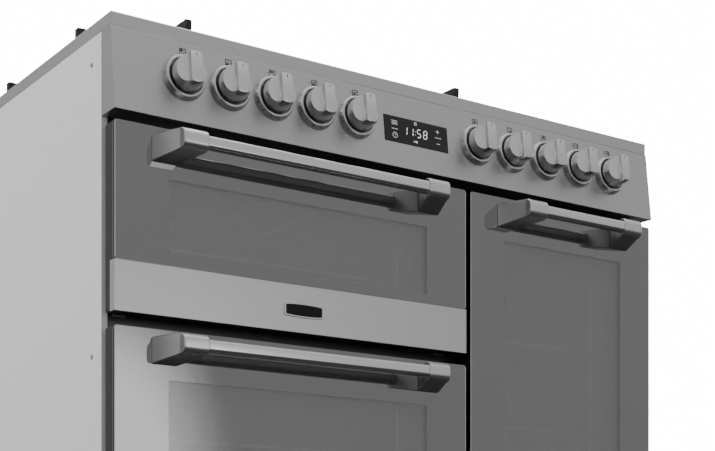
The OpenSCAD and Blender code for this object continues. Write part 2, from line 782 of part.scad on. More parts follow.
// A cast pan support over one column of burners; each stop is a burner's y and its clear radius, and
// front_lead is how far the front finger's top stands before the frame
module pan_support(x, stops, front_lead) {
    color(IRON) place() {
        low_z = body_h + 4;
        for (side = [-1, 1])
            block([x + side * support_w / 2 - (side > 0 ? bar_w : 0), support_y[0], low_z],
                [x + side * support_w / 2 + (side > 0 ? 0 : bar_w), support_y[1], low_z + frame_rise]);
        for (y = concat(support_y[0], len(stops) > 1 ? [(support_y[0] + support_y[1]) / 2] : [], support_y[1]))
            block([x - support_w / 2, y - (y == support_y[1] ? bar_w : 0), low_z],
                [x + support_w / 2, y + (y == support_y[1] ? 0 : bar_w), low_z + frame_rise]);
        for (stop = stops, side = [-1, 1])
            translate([x + side * support_w / 2, stop[0], 0]) rotate([0, 0, side * 90])
                finger(support_w / 2 - stop[1], 0);
        translate([x, support_y[0], 0]) finger(stops[0][0] - support_y[0] - stops[0][1], front_lead);
        last = stops[len(stops) - 1];
        translate([x, support_y[1], 0]) rotate([0, 0, 180]) finger(support_y[1] - last[0] - last[1], 0);
        for (side_x = [-1, 1], y = [support_y[0] + bar_w / 2, support_y[1] - bar_w / 2])
            rod_z(x + side_x * (support_w - bar_w) / 2, y, well_z + clear, low_z + 2, bar_w / 2 - 0.5);
    }
}

module pan_support_left() { pan_support(burner_xs[0], [[front_burner_y, 22], [rear_burner_y, 26]], 5); }
module pan_support_centre() { pan_support(burner_xs[1], [[middle_burner_y, 30]], -40); }
module pan_support_right() { pan_support(burner_xs[2], [[front_burner_y, 16], [rear_burner_y, 22]], 5); }

// An oven lining: five walls behind the front frame, with an optional hole for a fan's shaft
module cavity(x, w, z, h, shaft_at) {
    color(ENAMEL) place() difference() {
        block([x - lining, frame_back, z - lining], [x + w + lining, cavity_back + lining, z + h + lining]);
        block([x, frame_back - over, z], [x + w, cavity_back, z + h]);
        for (at = shaft_at) rod_y(at[0], cavity_back - over, cavity_back + lining + over, at[1], shaft_r + 3);
    }
}

module grill_cavity() {
    cavity(left_cavity_x, left_cavity_w, grill_cavity_z, grill_cavity_h, []);
}

module main_oven_cavity() {
    cavity(left_cavity_x, left_cavity_w, cavity_foot_z, main_cavity_h, [[left_fan_x, main_fan_z]]);
}

module tall_oven_cavity() {
    cavity(tall_cavity_x, tall_cavity_w, cavity_foot_z, tall_cavity_h, [[tall_fan_x, tall_fan_z]]);
}

// A ring of heating rod round a fan, facing forward
module fan_ring(x, z) {
    translate([x, cavity_back - 16, z]) rotate([90, 0, 0]) rotate_extrude() translate([fan_r + 14, 0]) circle(r = 3.5);
    for (dx = [-10, 10]) rod_y(x + dx, cavity_back - 16, cavity_back, z - fan_r - 12, 3.5);
}

// The grill's serpentine, the rings round the fans and the hotplate's radiant trays
module heating_elements() {
    legs = 6;
    pitch = 56;
    leg_z = grill_cavity_z + grill_cavity_h - 14;
    first_x = left_cavity_x + left_cavity_w / 2 - (legs - 1) * pitch / 2;
    front_turn = frame_back + 75;
    back_turn = cavity_back - 60;
    color(IRON) place() {
        for (i = [0 : legs - 1]) {
            end = (i == 0 || i == legs - 1) ? cavity_back : back_turn;
            rod_y(first_x + i * pitch, front_turn, end, leg_z, 3.5);
        }
        for (i = [0 : 2 : legs - 2]) translate([first_x + (i + 0.5) * pitch, front_turn, leg_z])
            rotate([0, 0, 180]) rotate_extrude(angle = 180) translate([pitch / 2, 0]) circle(r = 3.5);
        for (i = [1 : 2 : legs - 3]) translate([first_x + (i + 0.5) * pitch, back_turn, leg_z])
            rotate_extrude(angle = 180) translate([pitch / 2, 0]) circle(r = 3.5);
        fan_ring(left_fan_x, main_fan_z);
        fan_ring(tall_fan_x, tall_fan_z);
        for (y = [190, 400]) difference() {
            rod_z(hotplate_x + hotplate_w / 2, y, body_h - hotplate_t - 18, body_h - hotplate_t, 74);
            rod_z(hotplate_x + hotplate_w / 2, y, body_h - hotplate_t - 14, body_h - hotplate_t + over, 70);
        }
    }
}

// Wire rails on both walls of an oven, one pair of rods for each shelf
module side_rails(x, w, z, h, shelf_zs) {
    stand = 2.5;
    y0 = frame_back + 30;
    y1 = cavity_back - cover_depth - 20;
    for (side = [0, 1]) translate([side * (2 * x + w), 0, 0]) mirror([side, 0, 0]) {
        for (y = [y0, y1]) rod_z(x + stand, y, z + 20, z + h - 20, 2.5);
        for (shelf_z = shelf_zs) rod_y(x + stand + 4.5, y0, y1, shelf_z - wire_r - 2.5 - clear, 2.5);
        for (y = [y0, y1], top = [z + 20, z + h - 20]) translate([x + stand, y, top]) sphere(r = 2.5);
    }
}

module shelf_rails() {
    color(STEEL) place() {
        side_rails(left_cavity_x, left_cavity_w, grill_cavity_z, grill_cavity_h, grill_shelf_zs);
        side_rails(left_cavity_x, left_cavity_w, cavity_foot_z, main_cavity_h, main_shelf_zs);
        side_rails(tall_cavity_x, tall_cavity_w, cavity_foot_z, tall_cavity_h, tall_shelf_zs);
    }
}

// A wire shelf that rests on its rails
module shelf(x, w, z) {
    x0 = x + shelf_play;
    x1 = x + w - shelf_play;
    y0 = frame_back + 18;
    y1 = cavity_back - cover_depth - 12;
    wires = round((x1 - x0) / 30);
    for (y = [y0, y1]) rod_x(x0, x1, y, z, wire_r);
    for (side_x = [x0, x1]) rod_y(side_x, y0, y1, z, wire_r);
    for (side_x = [x0, x1], y = [y0, y1]) translate([side_x, y, z]) sphere(r = wire_r);
    for (i = [1 : wires - 1]) rod_y(x0 + (x1 - x0) * i / wires, y0, y1, z, 1.5);
}

module oven_shelves() {
    color(STEEL) place() {
        for (z = grill_shelf_zs) shelf(left_cavity_x, left_cavity_w, z);
        for (z = main_shelf_zs) shelf(left_cavity_x, left_cavity_w, z);
        for (z = tall_shelf_zs) shelf(tall_cavity_x, tall_cavity_w, z);
    }
}

// A pressed cover in front of a fan, with a ring of round holes
module fan_cover(x, w, z, h) {
    difference() {
        block([x - w / 2, cavity_back - cover_depth, z - h / 2], [x + w / 2, cavity_back, z + h / 2]);
        block([x - w / 2 + 1.2, cavity_back - cover_depth + 1.2, z - h / 2 + 1.2],
            [x + w / 2 - 1.2, cavity_back + over, z + h / 2 - 1.2]);
        for (ring = [[0, 1], [17, 6], [34, 12]], i = [0 : ring[1] - 1])
            rod_y(x + ring[0] * cos(i * 360 / ring[1]), cavity_back - cover_depth - over, cavity_back - cover_depth + 3,
                z + ring[0] * sin(i * 360 / ring[1]), 5);
        for (side = [-1, 1], k = [-3 : 3])
            block([x + side * (w / 2 - 18) - 5, cavity_back - cover_depth - over, z + k * h / 9 - 3],
                [x + side * (w / 2 - 18) + 5, cavity_back - cover_depth + 3, z + k * h / 9 + 3]);
    }
}

module fan_covers() {
    color(ENAMEL) place() {
        fan_cover(left_fan_x, 260, main_fan_z, 250);
        fan_cover(tall_fan_x, 200, tall_fan_z, 230);
    }
}

// A fan rotor: a disc with eight blades on a shaft that runs back into its motor
module rotor(x, z) {
    front = cavity_back - 28;
    translate([x, front, z]) rotate([-90, 0, 0]) {
        cylinder(h = 24, r = 10);
        translate([0, 0, 20]) cylinder(h = 1.2, r = fan_r);
        for (a = [0 : 45 : 315]) rotate([0, 0, a]) translate([8, -0.6, 3]) cube([fan_r - 10, 1.2, 17.5]);
        translate([0, 0, 20]) cylinder(h = 52, r = shaft_r);
    }
}

module main_oven_fan() {
    color(ZINC) place() rotor(left_fan_x, main_fan_z);
}

module tall_oven_fan() {
    color(ZINC) place() rotor(tall_fan_x, tall_fan_z);
}

// A fan motor bolted to the back of an oven lining
module motor(x, z) {
    back = cavity_back + lining;
    difference() {
        union() {
            rod_y(x, back + 12, back + 52, z, 32);
            for (a = [0 : 90 : 270])
                rod_y(x + 26 * cos(a + 45), back, back + 13, z + 26 * sin(a + 45), 4);
        }
        rod_y(x, back + 12 - over, back + 46, z, shaft_r + run_fit);
    }
}

module fan_motors() {
    color(DARK) place() {
        motor(left_fan_x, main_fan_z);
        motor(tall_fan_x, tall_fan_z);
    }
}

hob_top();
control_panel();
knob_bezels();
timer_display();
side_panels();
back_panel();
base_pan();
front_frame();
plinth();
levelling_feet();
hinge_brackets();
burner_bodies();
burner_caps();
hotplate_glass();
pan_support_left();
pan_support_centre();
pan_support_right();
gas_pipes();
control_valves();
grill_cavity();
main_oven_cavity();
tall_oven_cavity();
heating_elements();
shelf_rails();
oven_shelves();
fan_covers();
fan_motors();
main_oven_fan();
tall_oven_fan();
grill_door_glass();
grill_door_inner_glass();
grill_door_frame();
grill_door_band();
grill_door_handle();
grill_door_brackets();
main_door_glass();
main_door_inner_glass();
main_door_frame();
main_door_handle();
main_door_brackets();
tall_door_glass();
tall_door_inner_glass();
tall_door_frame();
tall_door_handle();
tall_door_brackets();
tap_plug_rear_left();
tap_plug_front_left();
tap_plug_wok();
tap_plug_front_right();
tap_plug_rear_right();
knob_rear_left();
knob_front_left();
knob_grill();
knob_main_oven_function();
knob_main_oven_heat();
knob_wok();
knob_front_right();
knob_rear_right();
knob_hotplate();
knob_tall_oven();
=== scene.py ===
"""Looks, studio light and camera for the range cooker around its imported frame.

Lengths in this file are millimetres unless a name ends in ``_m`` or a docstring says metres. They are written from
the cooker's left end (x), the hob's front edge (y) and the floor (z), and ``place`` turns them into the frame's
metres. The studio's lights and cards are placed in the frame's metres.
"""

import json
import logging
import math
from dataclasses import dataclass, field
from enum import Enum

import bmesh
import bpy
from mathutils import Matrix, Vector

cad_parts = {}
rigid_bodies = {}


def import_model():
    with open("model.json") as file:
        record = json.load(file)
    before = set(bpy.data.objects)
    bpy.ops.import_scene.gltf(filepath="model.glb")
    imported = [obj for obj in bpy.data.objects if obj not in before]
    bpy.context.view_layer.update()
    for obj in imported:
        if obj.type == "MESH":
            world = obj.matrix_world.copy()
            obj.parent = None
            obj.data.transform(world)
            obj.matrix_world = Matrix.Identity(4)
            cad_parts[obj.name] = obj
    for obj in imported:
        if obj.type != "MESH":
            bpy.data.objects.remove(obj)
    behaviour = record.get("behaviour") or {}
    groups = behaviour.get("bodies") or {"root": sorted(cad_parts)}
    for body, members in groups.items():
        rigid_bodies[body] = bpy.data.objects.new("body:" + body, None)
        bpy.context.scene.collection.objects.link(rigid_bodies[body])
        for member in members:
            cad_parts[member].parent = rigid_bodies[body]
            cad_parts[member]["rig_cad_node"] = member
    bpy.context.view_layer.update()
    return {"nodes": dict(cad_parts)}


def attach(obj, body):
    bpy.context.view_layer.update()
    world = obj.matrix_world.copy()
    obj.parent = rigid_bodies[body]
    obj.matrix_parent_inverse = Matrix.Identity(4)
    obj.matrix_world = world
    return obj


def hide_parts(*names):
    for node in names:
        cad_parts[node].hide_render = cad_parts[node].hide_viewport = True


LOG = logging.getLogger("cooker")
MM = 0.001
SMOOTH_BELOW = math.radians(32)

Pair = tuple[float, float]
Triple = tuple[float, float, float]


@dataclass(frozen=True)
class Layout:
    """The driving sizes of the cooker, the same as the frame's.

    Attributes:
        body_w: Width over the side panels.
        body_d: Depth of the hob.
        body_h: Height of the hob above the floor.
        handle_front: Front of the handles, negative in front of the hob's edge.
        hob_edge: Height of the hob's folded edge.
        tilt: Lean of the control panel, in radians.
        knob_drop: Distance of the knobs down the panel.
        knob_r: Radius of a knob at its base.
        knob_face_r: Radius of a knob at its face.
        knob_reach: Distance from the panel to a knob's face.
        door_face: Front of the outer glass.
        glass_t: Thickness of the outer glass.
        bar_size: Height and depth of a handle's bar.
        bracket_h: Height of a handle's brackets.
        foot_drop: How far a bracket's foot reaches below its nose.
        handle_margin: Distance from a door's edge to its handle.
        handle_drop: Distance of a handle below its door's top.
        cavity_back: Distance of the ovens' back walls behind the hob's edge.
        well_z: Height of the hob's sunken floor.
    """

    body_w: float = 1000.0
    body_d: float = 600.0
    body_h: float = 900.0
    handle_front: float = -66.0
    hob_edge: float = 20.0
    tilt: float = math.radians(6.65)
    knob_drop: float = 52.5
    knob_r: float = 24.2
    knob_face_r: float = 21.6
    knob_reach: float = 41.0
    door_face: float = -9.0
    glass_t: float = 5.0
    bar_size: float = 17.0
    bracket_h: float = 28.0
    foot_drop: float = 9.0
    handle_margin: float = 54.0
    handle_drop: float = 25.0
    cavity_back: float = 463.0
    well_z: float = 894.0

    @property
    def front_y(self) -> float:
        """Shift of y that puts the middle of the whole depth over the origin."""
        return -(self.body_d + self.handle_front) / 2

    @property
    def panel_top(self) -> float:
        """Height of the control panel's upper edge."""
        return self.body_h - self.hob_edge


L = Layout()
KNOB_XS = (105.0, 176.5, 248.0, 319.5, 391.0, 619.0, 690.5, 762.0, 833.5, 905.0)


def place(x: float, y: float, z: float) -> Vector:
    """Turns a point of this file into the frame's metres.

    Args:
        x: Distance from the left end.
        y: Distance behind the hob's front edge.
        z: Height above the floor.

    Returns:
        The point in the frame.
    """
    return Vector(((x - L.body_w / 2) * MM, (y + L.front_y) * MM, z * MM))


class Plane(Enum):
    """Which way a flat drawing faces, as the columns of its axes."""

    FRONT = ((1, 0, 0), (0, 0, 1), (0, -1, 0))
    BACK = ((-1, 0, 0), (0, 0, 1), (0, 1, 0))
    LEFT = ((0, -1, 0), (0, 0, 1), (-1, 0, 0))
    RIGHT = ((0, 1, 0), (0, 0, 1), (1, 0, 0))
    TOP = ((1, 0, 0), (0, 1, 0), (0, 0, 1))


def on_plane(plane: Plane, x: float, y: float, z: float) -> Matrix:
    """Stands a drawing in millimetres on a plane.

    Args:
        plane: The way that the drawing faces.
        x: Its origin's distance from the left end.
        y: Its origin's distance behind the hob's front edge.
        z: Its origin's height.

    Returns:
        The matrix from the drawing to the frame.
    """
    basis = Matrix(plane.value).transposed().to_4x4()
    return Matrix.Translation(place(x, y, z)) @ basis @ Matrix.Scale(MM, 4)


def on_panel(x: float, drop: float) -> Matrix:
    """Stands a drawing on the control panel's face.

    Args:
        x: Distance from the left end.
        drop: Distance down the panel's face.

    Returns:
        The matrix from the drawing, whose z points out of the panel, to the frame.
    """
    sin, cos = math.sin(L.tilt), math.cos(L.tilt)
    basis = Matrix(((1, 0, 0), (0, sin, cos), (0, -cos, sin))).transposed().to_4x4()
    origin = place(x, -drop * sin, L.panel_top - drop * cos)
    return Matrix.Translation(origin) @ basis @ Matrix.Scale(MM, 4)


def ring_points(radius: float, count: int, start: float = 0.0, sweep: float = math.tau) -> list[Pair]:
    """Points on a circle or an arc round the origin.

    Args:
        radius: The circle's radius.
        count: How many points.
        start: Angle of the first point.
        sweep: Angle covered; a full turn leaves out the repeated last point.

    Returns:
        The points.
    """
    steps = count if abs(sweep) >= math.tau - 1e-6 else count - 1
    return [(radius * math.cos(start + sweep * i / steps), radius * math.sin(start + sweep * i / steps))
            for i in range(count)]


def rounded(width: float, height: float, radius: float, x: float = 0.0, y: float = 0.0, steps: int = 7) -> list[Pair]:
    """Outline of a rectangle with round corners, centred on a point.

    Args:
        width: Its width.
        height: Its height.
        radius: Its corners' radius.
        x: Its centre.
        y: Its centre.
        steps: Points at each corner.

    Returns:
        The outline, anticlockwise.
    """
    outline: list[Pair] = []
    for turn, (sx, sy) in enumerate(((1, 1), (-1, 1), (-1, -1), (1, -1))):
        cx, cy = x + sx * (width / 2 - radius), y + sy * (height / 2 - radius)
        arc = ring_points(radius, steps, turn * math.pi / 2, math.pi / 2)
        outline += [(cx + u, cy + v) for u, v in arc]
    return outline


class Shell:
    """Collects simple closed forms, in millimetres, into one mesh."""

    def __init__(self) -> None:
        self.points: list[Triple] = []
        self.faces: list[tuple[int, ...]] = []

    def join(self, points: list[Triple], faces: list[tuple[int, ...]]) -> "Shell":
        """Adds a form.

        Args:
            points: Its corners.
            faces: Its faces, as indices into its own corners.

        Returns:
            This shell.
        """
        base = len(self.points)
        self.points += points
        self.faces += [tuple(i + base for i in face) for face in faces]
        return self

    def prism(self, outline: list[Pair], low: float, high: float) -> "Shell":
        """Adds an outline extruded along z.

        Args:
            outline: The outline's points.
            low: Its lower z.
            high: Its upper z.

        Returns:
            This shell.
        """
        n = len(outline)
        points = [(u, v, low) for u, v in outline] + [(u, v, high) for u, v in outline]
        sides = [(i, (i + 1) % n, (i + 1) % n + n, i + n) for i in range(n)]
        return self.join(points, [tuple(range(n - 1, -1, -1)), tuple(range(n, 2 * n)), *sides])

    def box(self, low: Triple, high: Triple) -> "Shell":
        """Adds a box from its lowest corner to its highest.

        Args:
            low: The lowest corner.
            high: The highest corner.

        Returns:
            This shell.
        """
        outline = [(low[0], low[1]), (high[0], low[1]), (high[0], high[1]), (low[0], high[1])]
        return self.prism(outline, low[2], high[2])

    def lathe(self, profile: list[Pair], closed: bool = False, steps: int = 72, at: Triple = (0, 0, 0)) -> "Shell":
        """Adds a profile turned about z.

        Args:
            profile: Pairs of radius and z.
            closed: True if the profile is a loop; otherwise its ends are capped.
            steps: Steps round the turn.
            at: Where the axis stands.

        Returns:
            This shell.
        """
        n = len(profile)
        points = [(at[0] + r * u, at[1] + r * v, at[2] + z) for u, v in ring_points(1, steps) for r, z in profile]
        faces: list[tuple[int, ...]] = []
        for i in range(steps):
            a, b = i * n, (i + 1) % steps * n
            faces += [(a + k, b + k, b + (k + 1) % n, a + (k + 1) % n) for k in range(n if closed else n - 1)]
        if not closed:
            faces += [tuple(i * n for i in range(steps)), tuple(i * n + n - 1 for i in reversed(range(steps)))]
        return self.join(points, faces)

    def sweep(self, path: list[Triple], radius: float, closed: bool = False, steps: int = 12) -> "Shell":
        """Adds a round tube along a path.

        Args:
            path: The points that it follows.
            radius: The tube's radius.
            closed: True if the path is a loop.
            steps: Steps round the tube.

        Returns:
            This shell.
        """
        line = [Vector(p) for p in path]
        n = len(line)
        points: list[Triple] = []
        side = Vector((0, 0, 1))
        for i, here in enumerate(line):
            before = line[i - 1] if i or closed else here
            after = line[(i + 1) % n] if i < n - 1 or closed else here
            along = (after - before).normalized()
            if abs(along.dot(side)) > 0.95:
                side = Vector((0, 1, 0)) if abs(along.y) < 0.9 else Vector((1, 0, 0))
            side = (side - along * along.dot(side)).normalized()
            other = along.cross(side)
            points += [tuple(here + (side * u + other * v)) for u, v in ring_points(radius, steps)]
        spans = n if closed else n - 1
        faces = [(i * steps + k, i * steps + (k + 1) % steps, (i + 1) % n * steps + (k + 1) % steps,
                  (i + 1) % n * steps + k) for i in range(spans) for k in range(steps)]
        if not closed:
            faces += [tuple(reversed(range(steps))), tuple((n - 1) * steps + k for k in range(steps))]
        return self.join(points, faces)

    def turned(self, angle: float, x: float = 0.0, y: float = 0.0) -> "Shell":
        """Turns all the forms so far about z and then moves them.

        Args:
            angle: The turn, in radians.
            x: The move along x.
            y: The move along y.

        Returns:
            This shell.
        """
        cos, sin = math.cos(angle), math.sin(angle)
        self.points = [(cos * u - sin * v + x, sin * u + cos * v + y, w) for u, v, w in self.points]
        return self

    def add(self, other: "Shell") -> "Shell":
        """Adds another shell's forms.

        Args:
            other: The other shell.

        Returns:
            This shell.
        """
        return self.join(other.points, other.faces)

    def mesh(self, name: str, matrix: Matrix) -> bpy.types.Mesh:
        """Makes the mesh.

        Args:
            name: The mesh's name.
            matrix: From millimetres to the mesh's own space.

        Returns:
            The mesh, with its normals outward.
        """
        mesh = bpy.data.meshes.new(name)
        mesh.from_pydata([tuple(matrix @ Vector(p)) for p in self.points], [], self.faces)
        work = bmesh.new()
        work.from_mesh(mesh)
        bmesh.ops.recalc_face_normals(work, faces=work.faces)
        work.to_mesh(mesh)
        work.free()
        mesh.shade_smooth()
        mesh.set_sharp_from_angle(angle=SMOOTH_BELOW)
        return mesh


def show(name: str, mesh: bpy.types.Mesh, matrix: Matrix | None = None) -> bpy.types.Object:
    """Links a mesh into the scene.

    Args:
        name: The object's name.
        matrix: Where it stands; None leaves it at the frame's origin.
        mesh: The mesh.

    Returns:
        The object.
    """
    obj = bpy.data.objects.new(name, mesh)
    bpy.context.scene.collection.objects.link(obj)
    if matrix is not None:
        obj.matrix_world = matrix
    return obj


def soften(obj: bpy.types.Object, width: float, segments: int = 3, angle: float = 30.0) -> bpy.types.Object:
    """Rounds an object's sharp edges.

    Args:
        obj: The object.
        width: The rounding's width.
        segments: Its steps.
        angle: The smallest angle between faces that is rounded, in degrees.

    Returns:
        The object.
    """
    bevel = obj.modifiers.new("soft_edges", "BEVEL")
    bevel.width = width * MM
    bevel.segments = segments
    bevel.limit_method = "ANGLE"
    bevel.angle_limit = math.radians(angle)
    bevel.harden_normals = True
    return obj


def bake(obj: bpy.types.Object) -> bpy.types.Object:
    """Turns an object's modifiers into its mesh.

    Args:
        obj: The object.

    Returns:
        The object.
    """
    bpy.context.view_layer.update()
    shape = obj.evaluated_get(bpy.context.evaluated_depsgraph_get())
    mesh = bpy.data.meshes.new_from_object(shape)
    obj.modifiers.clear()
    obj.data = mesh
    return obj


def combine(obj: bpy.types.Object, tool: bpy.types.Object, operation: str) -> bpy.types.Object:
    """Cuts or intersects an object with another, which is then removed.

    Args:
        obj: The object that stays.
        tool: The other object.
        operation: DIFFERENCE or INTERSECT.

    Returns:
        The first object, with a new mesh.
    """
    boolean = obj.modifiers.new("combine", "BOOLEAN")
    boolean.operation, boolean.object, boolean.solver = operation, tool, "EXACT"
    bake(obj)
    bpy.data.objects.remove(tool)
    obj.data.shade_smooth()
    obj.data.set_sharp_from_angle(angle=SMOOTH_BELOW)
    return obj


class Surface(Enum):
    """The kinds of surface that a finish can have."""

    METAL = "metal"
    PAINT = "paint"
    ENAMEL = "enamel"
    GLASS = "glass"
    PRINT = "print"
    LIT = "lit"


@dataclass(frozen=True)
class Finish:
    """One finish of the cooker.

    Attributes:
        name: The finish's name.
        slot: The record's material slot that it answers to, or an empty name; not used.
        surface: Its kind of surface.
        colour: Its base colour, linear.
        metallic: Its metallic value.
        roughness: Its roughness before the shared effects.
        stretch: Scale of the grain along each axis, per metre.
        depth: Strength of the grain's relief.
        contrast: How far the grain moves the colour and the roughness.
        edge_m: Radius of the softened edges, in metres.
        wear: How bright the worn edges are.
        dust: How strong the dust is.
        coat: Weight of the clear coat.
        alpha: Opacity, or for a door's glass the opacity of its window.
        window: Lowest and highest corner of a door's clear window, in metres, or None; the window's lighter grey is a
            painted reflection of the room.
        glow: Strength of its own light.
        ior: Index of refraction, higher for a coated glass.
    """

    name: str
    slot: str
    surface: Surface
    colour: Triple
    metallic: float = 0.0
    roughness: float = 0.4
    stretch: Triple = (60.0, 60.0, 60.0)
    depth: float = 0.1
    contrast: float = 0.12
    edge_m: float = 0.0006
    wear: float = 0.0
    dust: float = 0.0
    coat: float = 0.0
    alpha: float = 1.0
    window: tuple[Triple, Triple] | None = None
    glow: float = 0.0
    ior: float = 1.5


ACROSS = (3.0, 2600.0, 2600.0)
FINE = (90.0, 90.0, 90.0)

HOB_STEEL = Finish("hob_steel", "hob_steel", Surface.METAL, (0.60, 0.60, 0.60), 1.0, 0.34, ACROSS, 0.05, 0.10,
                   0.0022, 0.06, 0.05)
PANEL_STEEL = Finish("panel_steel", "panel_steel", Surface.METAL, (0.58, 0.58, 0.58), 1.0, 0.40, ACROSS, 0.06, 0.10,
                     0.0016, 0.05, 0.02)
BAND_STEEL = Finish("band_steel", "band_steel", Surface.METAL, (0.66, 0.66, 0.66), 1.0, 0.36, ACROSS, 0.06, 0.12,
                    0.0008, 0.04, 0.02)
PLINTH_STEEL = Finish("plinth_steel", "plinth_steel", Surface.METAL, (0.52, 0.52, 0.52), 1.0, 0.42, ACROSS, 0.06,
                      0.12, 0.0008, 0.05, 0.12)
HANDLE_STEEL = Finish("handle_steel", "handle_steel", Surface.METAL, (0.78, 0.78, 0.78), 1.0, 0.22, ACROSS, 0.05,
                      0.10, 0.0006, 0.03)
BRACKET_METAL = Finish("bracket_metal", "bracket_metal", Surface.METAL, (0.72, 0.72, 0.72), 1.0, 0.30, FINE, 0.02,
                       0.05, 0.0008, 0.04)
BEZEL_METAL = Finish("bezel_metal", "bezel_metal", Surface.METAL, (0.66, 0.66, 0.66), 1.0, 0.30, FINE, 0.02, 0.05,
                     0.0004, 0.03)
KNOB_METAL = Finish("knob_metal", "knob_metal", Surface.METAL, (0.74, 0.74, 0.73), 1.0, 0.27, FINE, 0.02, 0.05,
                    0.0005, 0.04)
SIDE_PAINT = Finish("side_paint", "side_paint", Surface.PAINT, (0.56, 0.56, 0.565), 0.25, 0.45, (420.0, 420.0, 420.0),
                    0.05, 0.05, 0.0008, 0.03, 0.04)
FRAME_BLACK = Finish("frame_black", "frame_black", Surface.ENAMEL, (0.012, 0.012, 0.012), 0.0, 0.3, coat=0.3)
DOOR_BLACK = Finish("door_black", "door_black", Surface.PAINT, (0.012, 0.012, 0.013), 0.0, 0.42, wear=0.02)
MOTOR_BLACK = Finish("motor_black", "motor_black", Surface.PAINT, (0.03, 0.03, 0.03), 0.2, 0.4, dust=0.2)
ZINC_SHEET = Finish("zinc_sheet", "zinc_sheet", Surface.METAL, (0.50, 0.51, 0.52), 0.9, 0.42, (26.0, 26.0, 26.0),
                    0.05, 0.22, 0.0006, 0.05, 0.12)
ZINC_BRIGHT = Finish("zinc_bright", "zinc_bright", Surface.METAL, (0.62, 0.62, 0.60), 1.0, 0.3, FINE, 0.05, 0.1,
                     0.0005, 0.06, 0.08)
BURNER_ALLOY = Finish("burner_alloy", "burner_alloy", Surface.METAL, (0.42, 0.42, 0.42), 0.9, 0.5, (300.0,) * 3, 0.15,
                      0.12, 0.0006, 0.08, 0.05)
CAP_ENAMEL = Finish("cap_enamel", "cap_enamel", Surface.ENAMEL, (0.012, 0.012, 0.012), 0.0, 0.42, edge_m=0.0012)
CAST_SUPPORT = Finish("cast_support", "cast_support", Surface.ENAMEL, (0.010, 0.010, 0.010), 0.0, 0.5, (240.0,) * 3,
                      0.35, 0.1, 0.0012, 0.02, 0.03)
GAS_TUBE = Finish("gas_tube", "gas_tube", Surface.METAL, (0.6, 0.6, 0.57), 1.0, 0.3, FINE, 0.04, 0.1, dust=0.1)
TAP_BRASS = Finish("tap_brass", "tap_brass", Surface.METAL, (0.66, 0.48, 0.20), 1.0, 0.28, FINE, 0.04, 0.1, wear=0.05)
OVEN_ENAMEL = Finish("oven_enamel", "oven_enamel", Surface.ENAMEL, (0.045, 0.048, 0.055), 0.0, 0.2, coat=0.5,
                     edge_m=0.003)
ELEMENT_ALLOY = Finish("element_alloy", "element_alloy", Surface.METAL, (0.10, 0.09, 0.08), 0.6, 0.6, FINE, 0.1, 0.25)
WIRE_CHROME = Finish("wire_chrome", "wire_chrome", Surface.METAL, (0.72, 0.72, 0.72), 1.0, 0.12, FINE, 0.01, 0.05)
FAN_SHEET = Finish("fan_sheet", "fan_sheet", Surface.METAL, (0.45, 0.45, 0.44), 0.9, 0.4, FINE, 0.05, 0.15, wear=0.05)
INNER_GLASS = Finish("inner_glass", "inner_glass", Surface.GLASS, (0.5, 0.52, 0.52), 0.0, 0.03, alpha=0.10)
TIMER_GLASS = Finish("timer_glass", "display_glass", Surface.GLASS, (0.006, 0.006, 0.007), 0.0, 0.06)
HOTPLATE_GLASS = Finish("hotplate_black", "hotplate_glass", Surface.GLASS, (0.008, 0.008, 0.009), 0.0, 0.08,
                        contrast=0.3)
INK = Finish("ink_black", "", Surface.PRINT, (0.015, 0.015, 0.015), 0.0, 0.5)
ZONE_INK = Finish("zone_ink", "", Surface.PRINT, (0.30, 0.30, 0.30), 0.0, 0.4)
RUBBER = Finish("seal_rubber", "", Surface.PAINT, (0.012, 0.012, 0.012), 0.0, 0.6, (500.0,) * 3, 0.2)
CERAMIC = Finish("electrode_ceramic", "", Surface.ENAMEL, (0.72, 0.70, 0.66), 0.0, 0.35)
LAMP_GLASS = Finish("lamp_glass", "", Surface.GLASS, (0.7, 0.7, 0.66), 0.0, 0.1, alpha=0.6)
SEGMENT_LIGHT = Finish("segment_light", "", Surface.LIT, (0.80, 0.85, 0.88), 0.0, 0.5, glow=0.62)
BADGE_BLACK = Finish("badge_black", "", Surface.PRINT, (0.006, 0.006, 0.006), 0.0, 0.5, ior=1.3)
PLATE_PAPER = Finish("plate_foil", "", Surface.PAINT, (0.60, 0.60, 0.58), 0.4, 0.45)


def window_glass(name: str, low: Triple, high: Triple) -> Finish:
    """A door's outer glass, black at its border and clearer at its window, whose lighter grey is a painted reflection
    of the room.

    Args:
        name: The finish's name.
        low: The window's lowest corner.
        high: The window's highest corner.

    Returns:
        The finish.
    """
    return Finish(name, "door_glass", Surface.GLASS, (0.022, 0.022, 0.022), 0.0, 0.015, contrast=0.02, edge_m=0.001,
                  alpha=0.45, ior=3.1, window=(tuple(place(*low)), tuple(place(*high))))


